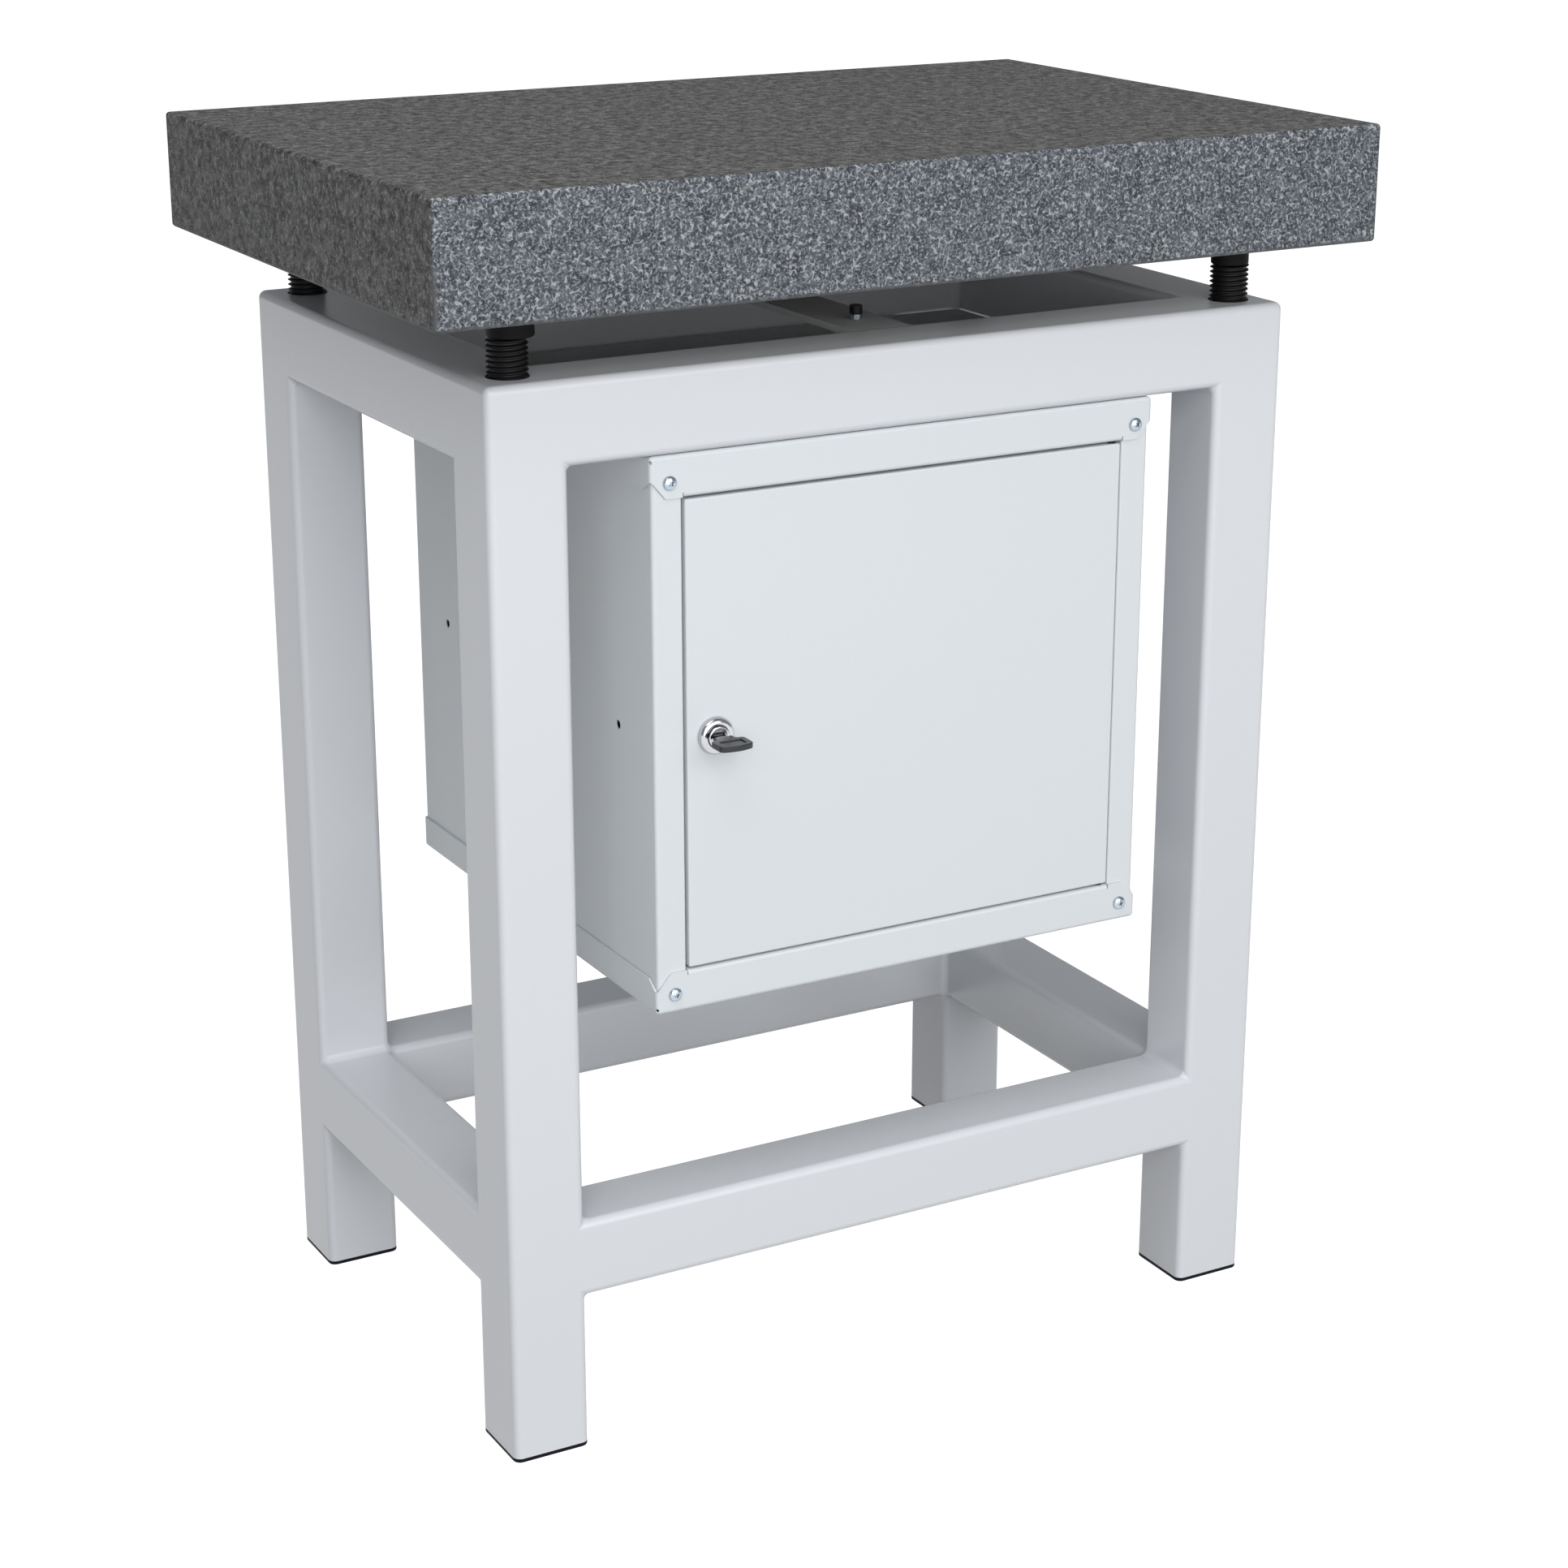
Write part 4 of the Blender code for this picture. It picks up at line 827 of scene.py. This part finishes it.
for end, side in CORNERS:
    node = f"foot_cap_{end}_{side}"
    low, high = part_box(node)
    cap = bmesh.new()
    block(cap, low, (high.x, high.y, low.z + CAP_FLANGE))
    uprights = [edge for edge in cap.edges if abs(edge.verts[0].co.z - edge.verts[1].co.z) > MERGE]
    round_edges(cap, uprights, CAP_CORNER, EDGE_SEGMENTS)
    cap.normal_update()
    rims = [edge for face in flat_faces(cap, low.z, -1) for edge in face.edges]
    round_edges(cap, rims, CAP_RIM, 3)
    cap.normal_update()
    top = flat_faces(cap, low.z + CAP_FLANGE, 1)
    bmesh.ops.inset_region(cap, faces=top, thickness=CAP_STEP, use_even_offset=True)
    plug = grow(cap, top, high.z - low.z - CAP_FLANGE)
    bmesh.ops.inset_region(cap, faces=plug, thickness=CAP_WALL, use_even_offset=True)
    grow(cap, plug, low.z + CAP_FLANGE - high.z)
    sole = flat_faces(cap, low.z, -1)
    bmesh.ops.inset_region(cap, faces=sole, thickness=CAP_SOLE, use_even_offset=True)
    grow(cap, sole, CAP_SOLE_DEPTH)
    bmesh.ops.recalc_face_normals(cap, faces=cap.faces)
    publish(f"moulded_{node}", cap, plastic_look, "stand", [node])

# %% [markdown]
# ## Granite plate
#
# The plate is a ground block with a small rounded chamfer along every edge, which keeps the edges
# from chipping. A block and one bevel make it. The material finds the chamfer by its place.

# %% Granite plate
plate = bmesh.new()
block(plate, plate_low, plate_high)
round_edges(plate, plate.edges[:], CHAMFER, 4)
publish("granite_stone", plate, granite_look, "plate", ["granite_plate"])

# %% [markdown]
# ## Folded sheet of the cabinet
#
# The cabinet is folded from thin sheet: two pans, two side panels and a door like a tray. Sheet is
# bent, not cut and glued, so each piece starts as flat panels that share edges. The shared edges
# are bevelled into bends, the surface gets the sheet's thickness on its inner side, and the holes
# are cut last, as a fitter drills them.

# %% Sheet helpers
SHEET = 0.0012
BEND = 0.0025
TIGHT_BEND = 0.0013
BEND_SEGMENTS = 8
SIDE_BORDER = 0.021
TOP_BORDER = 0.0255
LIP = 0.0165
RELIEF_WIDTH = 0.0007
RELIEF_HOLE = 0.0011
RELIEF_LEVEL = 0.0032
STRIP_END = 0.0135
STRIP_SLOPE = 0.0100
STRIP_FOOT = 0.0050
PAN_FLANGE = 0.0207
PAN_FLANGE_SLOPE = 0.0105
HOLE_REACH = 0.003
SCREW_HOLE = 0.0024
PEG_HOLE = 0.0029
PIN_HOLE = 0.0018

top_low, top_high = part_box("cabinet_top_pan")
bottom_low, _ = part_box("cabinet_bottom_pan")
cabinet_x = (top_low.x + top_high.x) / 2
cabinet_half = (top_high.x - top_low.x) / 2
cabinet_front, cabinet_back = top_low.y, top_high.y
opening_half = cabinet_half - SIDE_BORDER


def drill(shape, place, axis, radius, steps=24):
    """Adds a round cutter that reaches through a sheet at a place, along X, Y or Z."""
    reach = Vector([HOLE_REACH if name == axis else 0 for name in "XYZ"])
    rod(shape, Vector(place) - reach, Vector(place) + reach, radius, steps)


def folded(panels, bend=BEND, tight_x=None):
    """A surface of flat panels, its shared edges rounded as bends. Those at tight_x get the tight bend."""
    shape = bmesh.new()
    for panel in panels:
        shape.faces.new([shape.verts.new(corner) for corner in panel])
    bmesh.ops.remove_doubles(shape, verts=shape.verts, dist=MERGE)
    bmesh.ops.recalc_face_normals(shape, faces=shape.faces)

    def tight(edge):
        return tight_x is not None and all(abs(vert.co.x - tight_x) < MERGE for vert in edge.verts)

    for radius, wanted in ((bend, False), (TIGHT_BEND, True)):
        shared = [edge for edge in shape.edges if len(edge.link_faces) == 2 and tight(edge) == wanted]
        bmesh.ops.bevel(shape, geom=shared, offset=radius, offset_type="OFFSET", affect="EDGES",
                        segments=BEND_SEGMENTS, profile=0.5, material=-1, clamp_overlap=False)
    bmesh.ops.recalc_face_normals(shape, faces=shape.faces)
    return shape


# %% Pans
def pan_panels(level, down):
    """Flat panels of a pan: its plate, front strip, lip over the door, rear and side flanges."""
    def at(x, y, drop):
        return cabinet_x + x, y, level + down * drop

    half, front, back, inner = cabinet_half, cabinet_front, cabinet_back, opening_half
    relief = BEND + FIT
    slope_end = half - STRIP_SLOPE
    lip = inner - RELIEF_WIDTH
    half_strip = [(half, 0), (half, STRIP_END), (slope_end, TOP_BORDER - FIT),
                  (slope_end - STRIP_FOOT, TOP_BORDER), (inner, TOP_BORDER), (inner, TOP_BORDER - relief),
                  (lip, TOP_BORDER - relief), (lip, TOP_BORDER)]
    strip = half_strip + [(-x, drop) for x, drop in reversed(half_strip)]
    panels = [[at(-half, front, 0), at(half, front, 0), at(half, back, 0), at(-half, back, 0)],
              [at(x, front, drop) for x, drop in strip],
              [at(-lip, front, TOP_BORDER), at(lip, front, TOP_BORDER),
               at(lip, front + LIP, TOP_BORDER), at(-lip, front + LIP, TOP_BORDER)],
              [at(-half, back, 0), at(half, back, 0),
               at(half, back, PAN_FLANGE), at(-half, back, PAN_FLANGE)]]
    for x in (-half, half):
        panels.append([at(x, front, 0), at(x, front, STRIP_END),
                       at(x, front + PAN_FLANGE_SLOPE, PAN_FLANGE), at(x, back, PAN_FLANGE), at(x, back, 0)])
    return panels


screw_holes = [middle_of(f"corner_screw_{level}_{side}") for level in ("lower", "upper") for side in SIDES]
pin = middle_of("hinge_pin_upper")
for node, level, down in (("cabinet_top_pan", top_high.z, -1), ("cabinet_bottom_pan", bottom_low.z, 1)):
    holes = bmesh.new()
    for hole in screw_holes:
        if abs(hole.z - level) < TOP_BORDER:
            drill(holes, (hole.x, cabinet_front, hole.z), "Y", SCREW_HOLE)
    for side in (-1, 1):
        corner = Vector((cabinet_x + side * cabinet_half, cabinet_front, level + down * RELIEF_LEVEL))
        way = Vector((side, -1, 0)).normalized() * HOLE_REACH
        rod(holes, corner - 2 * way, corner + way, RELIEF_HOLE)
    drill(holes, (pin.x, pin.y, level + down * TOP_BORDER), "Z", PIN_HOLE)
    pan = worked(folded(pan_panels(level, down)), SHEET, cut=[holes])
    publish(node.replace("cabinet", "folded"), pan, cabinet_look, "stand", [node])

# %% Side panels
for side_name, side in (("left", -1), ("right", 1)):
    outer = cabinet_x + side * (cabinet_half - SHEET - FIT)
    inner = cabinet_x + side * opening_half
    front = cabinet_front + SHEET + FIT
    back = cabinet_back - BEND
    low = bottom_low.z + BEND + FIT
    high = top_high.z - BEND - FIT
    lip_low = bottom_low.z + TOP_BORDER - SHEET
    lip_high = top_high.z - TOP_BORDER + SHEET
    deep = cabinet_front + LIP
    panels = [[(outer, front, low), (outer, back, low), (outer, back, high), (outer, front, high)],
              [(outer, front, low), (outer, front, high), (inner, front, high), (inner, front, lip_high),
               (inner, front, lip_low), (inner, front, low)],
              [(inner, front, lip_low), (inner, front, lip_high),
               (inner, deep, lip_high), (inner, deep, lip_low)]]
    holes = bmesh.new()
    for hole in screw_holes:
        if (hole.x - cabinet_x) * side > 0:
            drill(holes, (hole.x, front, hole.z), "Y", SCREW_HOLE)
    for end in ENDS:
        peg = middle_of(f"shelf_peg_{end}_{side_name}")
        drill(holes, (outer, peg.y, peg.z), "X", PEG_HOLE)
    node = f"cabinet_{side_name}_panel"
    panel = worked(folded(panels, BEND, inner), SHEET, cut=[holes])
    publish(node.replace("cabinet", "folded"), panel, cabinet_look, "stand", [node])

# %% Door
DOOR_DEPTH = 0.0165
BARREL_HOLE = 0.0095

door_low, door_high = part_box("door_panel")
lock_axis = middle_of("lock_plug")
face = [(door_low.x, door_low.y, door_low.z), (door_high.x, door_low.y, door_low.z),
        (door_high.x, door_low.y, door_high.z), (door_low.x, door_low.y, door_high.z)]
panels = [face]
for start, end in zip(face, face[1:] + face[:1]):
    back = door_low.y + DOOR_DEPTH
    panels.append([start, end, (end[0], back, end[2]), (start[0], back, start[2])])
holes = bmesh.new()
drill(holes, (lock_axis.x, door_low.y, lock_axis.z), "Y", BARREL_HOLE, 64)
for level in (door_low.z, door_high.z):
    drill(holes, (pin.x, pin.y, level), "Z", PIN_HOLE)
door = worked(folded(panels, TIGHT_BEND), SHEET, cut=[holes])
publish("folded_door", door, cabinet_look, "door", ["door_panel"])

# %% [markdown]
# ## Small turned parts
#
# Pan heads, pegs, the lock's bezel and its plug are all turned: one profile, spun round an axis.
# What isn't round, such as a cross recess or a keyway, is cut out afterwards.

# %% Corner screws
HEAD_RADIUS = 0.0042
HEAD_DOME = 0.0026
HEAD_EDGE = 0.0007
SHANK_RADIUS = 0.002
SHANK_LENGTH = 0.008
CROSS_REACH = 0.0024
CROSS_HALF = 0.00055
CROSS_DEPTH = 0.0015
CROSS_FOOT = (0.45, 0.7, 1)
CROSS_TILT = {"lower": 20, "upper": 38}
TURNED_STEPS = 48


def cross_arm(top, angle):
    """A tapered arm of a cross recess, wide at the top and narrow at its foot."""
    arm = bmesh.new()
    verts = block(arm, (-CROSS_REACH, -CROSS_HALF, top - CROSS_DEPTH),
                  (CROSS_REACH, CROSS_HALF, top + CROSS_DEPTH))
    foot = [vert for vert in verts if vert.co.z < top]
    bmesh.ops.scale(arm, vec=CROSS_FOOT, verts=foot)
    bmesh.ops.rotate(arm, cent=(0, 0, 0), matrix=Matrix.Rotation(angle, 3, "Z"), verts=arm.verts)
    return arm


head_profile = [(0, -SHANK_LENGTH), (SHANK_RADIUS, -SHANK_LENGTH), (SHANK_RADIUS, 0), (HEAD_RADIUS, 0)]
head_profile += arc(HEAD_RADIUS, HEAD_DOME - HEAD_EDGE, 0, HEAD_EDGE, 12)
head_profile[-1] = (0, HEAD_DOME)
for level in ("lower", "upper"):
    for side in SIDES:
        node = f"corner_screw_{level}_{side}"
        middle = middle_of(node)
        tilt = math.radians(CROSS_TILT[level])
        arms = [cross_arm(HEAD_DOME, tilt + turn) for turn in (0, math.pi / 2)]
        screw = worked(turned(head_profile, TURNED_STEPS), cut=arms)
        publish(f"pan_head_{level}_{side}", stood(screw, (middle.x, cabinet_front - FIT, middle.z), "-Y"),
                zinc_look, "stand", [node])

# %% Shelf pegs
PEG_HEAD = 0.004
PEG_EDGE = 0.0005
PEG_STUB = 0.0026
PEG_BORE = 0.0021

for end, side in CORNERS:
    node = f"shelf_peg_{end}_{side}"
    low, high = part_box(node)
    middle = middle_of(node)
    out = -1 if side == "left" else 1
    length = high.x - low.x
    step = length - (SHEET / 2 + FIT + FIT)
    section = [(PEG_BORE, 0), (PEG_HEAD - PEG_EDGE, 0), (PEG_HEAD, PEG_EDGE), (PEG_HEAD, step),
               (PEG_STUB, step), (PEG_STUB, length), (PEG_BORE, length)]
    peg = turned([(radius, out * height) for radius, height in section], 32, closed=True)
    start = low.x if out > 0 else high.x
    peg = stood(peg, (start, middle.y, middle.z), "X")
    publish(f"hollow_{node}", peg, black_look, "stand", [node])

# %% [markdown]
# ## Lock and key
#
# The lock's housing is a barrel with a domed bezel. The plug turns in it, and its face is cut by
# the keyway. The key is one piece: a flat head with a raised rim round a sunk field, which is left
# bare, and a blade. Its outline is drawn as points, since the real one is stamped.

# %% Lock
BARREL_LENGTH = 0.0178
BARREL_RADIUS = 0.0092
BEZEL_RADIUS = 0.0115
BEZEL_HEIGHT = 0.005
BEZEL_RIM = 0.0012
BEZEL_EDGE = 0.0002
BORE_EDGE = 0.0003
PLUG_RADIUS = 0.0068
PLUG_PROUD = 0.0012
PLUG_EDGE = 0.0009
PLUG_SINK = 0.0003
PLUG_RING = 0.75
PLUG_FIELD = 0.70
KEYWAY_HALF_WIDTH = 0.0042
KEYWAY_HALF_HEIGHT = 0.0013
KEYWAY_DEPTH = 0.0098

lock_place = (lock_axis.x, cabinet_front, lock_axis.z)
bore = PLUG_RADIUS + FIT
flat = bore + BEZEL_RIM
section = [(bore, -BARREL_LENGTH), (BARREL_RADIUS, -BARREL_LENGTH),
           (BARREL_RADIUS, FIT), (BEZEL_RADIUS - BEZEL_EDGE, FIT)]
section += arc(BEZEL_RADIUS - flat, BEZEL_HEIGHT - BEZEL_RIM - FIT, flat, BEZEL_RIM + FIT, 14)
section += [(bore + BORE_EDGE, BEZEL_HEIGHT), (bore, BEZEL_HEIGHT - BORE_EDGE)]
housing = stood(turned(section, 64, closed=True), lock_place, "-Y")
publish("lock_bezel", housing, chrome_look, "door", ["lock_housing"])

plug_face = BEZEL_HEIGHT + PLUG_PROUD
profile = [(0, -BARREL_LENGTH), (PLUG_RADIUS, -BARREL_LENGTH)]
profile += arc(PLUG_EDGE, PLUG_EDGE, PLUG_RADIUS - PLUG_EDGE, plug_face - PLUG_EDGE, 5)
sunk = plug_face - PLUG_SINK
profile += [(PLUG_RADIUS * PLUG_RING, plug_face), (PLUG_RADIUS * PLUG_FIELD, sunk), (0, sunk)]
keyway = bmesh.new()
block(keyway, (-KEYWAY_HALF_WIDTH, -KEYWAY_HALF_HEIGHT, plug_face - KEYWAY_DEPTH),
      (KEYWAY_HALF_WIDTH, KEYWAY_HALF_HEIGHT, plug_face + KEYWAY_DEPTH))
plug = stood(worked(turned(profile, 64), cut=[keyway]), lock_place, "-Y")
publish("keyed_plug", plug, chrome_look, "lock", ["lock_plug"])

# %% Key
KEY_HALF = 0.011
KEY_NEAR = 0.010
KEY_FAR = 0.0305
KEY_NECK = 0.006
KEY_NECK_LENGTH = 0.005
KEY_CORNER = 0.0024
KEY_BOW = 0.0022
KEY_THICKNESS = 0.0035
KEY_EDGE = 0.0005
FIELD_HALF = 0.0078
FIELD_NEAR = 0.0175
FIELD_FAR = 0.0272
FIELD_DEPTH = 0.0007
FIELD_SLOPE = 0.0006
FIELD_CORNER = 0.0012
BLADE_HALF = 0.0029
BLADE_THICKNESS = 0.0018
BLADE_REACH = 0.0090

shoulder = KEY_NEAR + KEY_NECK_LENGTH
straight = KEY_FAR - KEY_BOW
key = bmesh.new()
outline = [(-KEY_NECK, KEY_NEAR), (-KEY_NECK, shoulder), (-KEY_HALF, shoulder), (-KEY_HALF, straight),
           (KEY_HALF, straight), (KEY_HALF, shoulder), (KEY_NECK, shoulder), (KEY_NECK, KEY_NEAR)]
corners = [key.verts.new((x, -y, -KEY_THICKNESS / 2)) for x, y in outline]
key.faces.new(corners)
bmesh.ops.bevel(key, geom=corners[1:7], offset=KEY_CORNER, offset_type="OFFSET", affect="VERTICES",
                segments=6, profile=0.5, material=-1, clamp_overlap=True)
far_edge = [edge for edge in key.edges if all(vert.co.y < MERGE - straight for vert in edge.verts)]
bmesh.ops.subdivide_edges(key, edges=far_edge, cuts=11)
for vert in key.verts:
    if vert.co.y < -(straight + shoulder) / 2:
        vert.co.y -= KEY_BOW * (1 - (vert.co.x / KEY_HALF) ** 2)
grown = bmesh.ops.extrude_face_region(key, geom=key.faces[:])["geom"]
bmesh.ops.translate(key, vec=(0, 0, KEY_THICKNESS), verts=only(grown, bmesh.types.BMVert))
bmesh.ops.recalc_face_normals(key, faces=key.faces)
rims = [edge for edge in key.edges if abs(edge.verts[0].co.z - edge.verts[1].co.z) < MERGE]
round_edges(key, rims, KEY_EDGE, 3)
blade = bmesh.new()
block(blade, (-BLADE_HALF, -KEY_NEAR - KEY_CORNER, -BLADE_THICKNESS / 2),
      (BLADE_HALF, BLADE_REACH, BLADE_THICKNESS / 2))
fields = []
for up in (-1, 1):
    field = bmesh.new()
    floor_level = up * (KEY_THICKNESS / 2 - FIELD_DEPTH)
    verts = block(field, (-FIELD_HALF, -FIELD_FAR, min(floor_level, up * KEY_THICKNESS)),
                  (FIELD_HALF, -FIELD_NEAR, max(floor_level, up * KEY_THICKNESS)))
    inner = [vert for vert in verts if abs(vert.co.z - floor_level) < MERGE]
    for vert in inner:
        vert.co.x -= math.copysign(FIELD_SLOPE, vert.co.x)
        vert.co.y += math.copysign(FIELD_SLOPE, (-FIELD_FAR - FIELD_NEAR) / 2 - vert.co.y)
    uprights = [edge for edge in field.edges if abs(edge.verts[0].co.z - edge.verts[1].co.z) > MERGE]
    round_edges(field, uprights, FIELD_CORNER, 4)
    fields.append(field)
key = worked(key, add=[blade], cut=fields)
publish("key_in_lock", stood(key, lock_place), key_look, "key", ["key"])

# %% [markdown]
# ## Finishes of the CAD solids that stay
#
# The other solids already have the right shape. Each gets the finish of its material slot. Four
# have their own look: the sheet and the bar between the top rails are matt, as they got only an
# undercoat, and the hinge pins are black as painted shade, so they stay as dark as the gap beside
# the door.

# %% Finishes of the CAD nodes
LOOKS = {
    "granite": granite_look,
    "stand_paint": stand_look,
    "cabinet_paint": cabinet_look,
    "black_plastic": plastic_look,
    "black_rubber": rubber_look,
    "screw_steel": black_look,
    "zinc": zinc_look,
    "bare_steel": steel_look,
    "blackened_steel": black_look,
    "chrome": chrome_look,
}
OWN_LOOKS = {
    "closing_sheet": primer_look,
    "crossbar": primer_look,
    # The hinge pins get the black finish as painted shade, so they stay as dark as the gap beside the door.
    "hinge_pin_upper": black_look,
    "hinge_pin_lower": black_look,
}

slots = {part["node"]: part["material_slot"] for part in frame["record"]["subparts"]}
for name, node in frame["nodes"].items():
    look = OWN_LOOKS.get(name, LOOKS[slots[name]])
    if not node.data.materials:
        node.data.materials.append(look)
    for index in range(len(node.data.materials)):
        node.data.materials[index] = look
print("dressed", len(slots), "nodes")
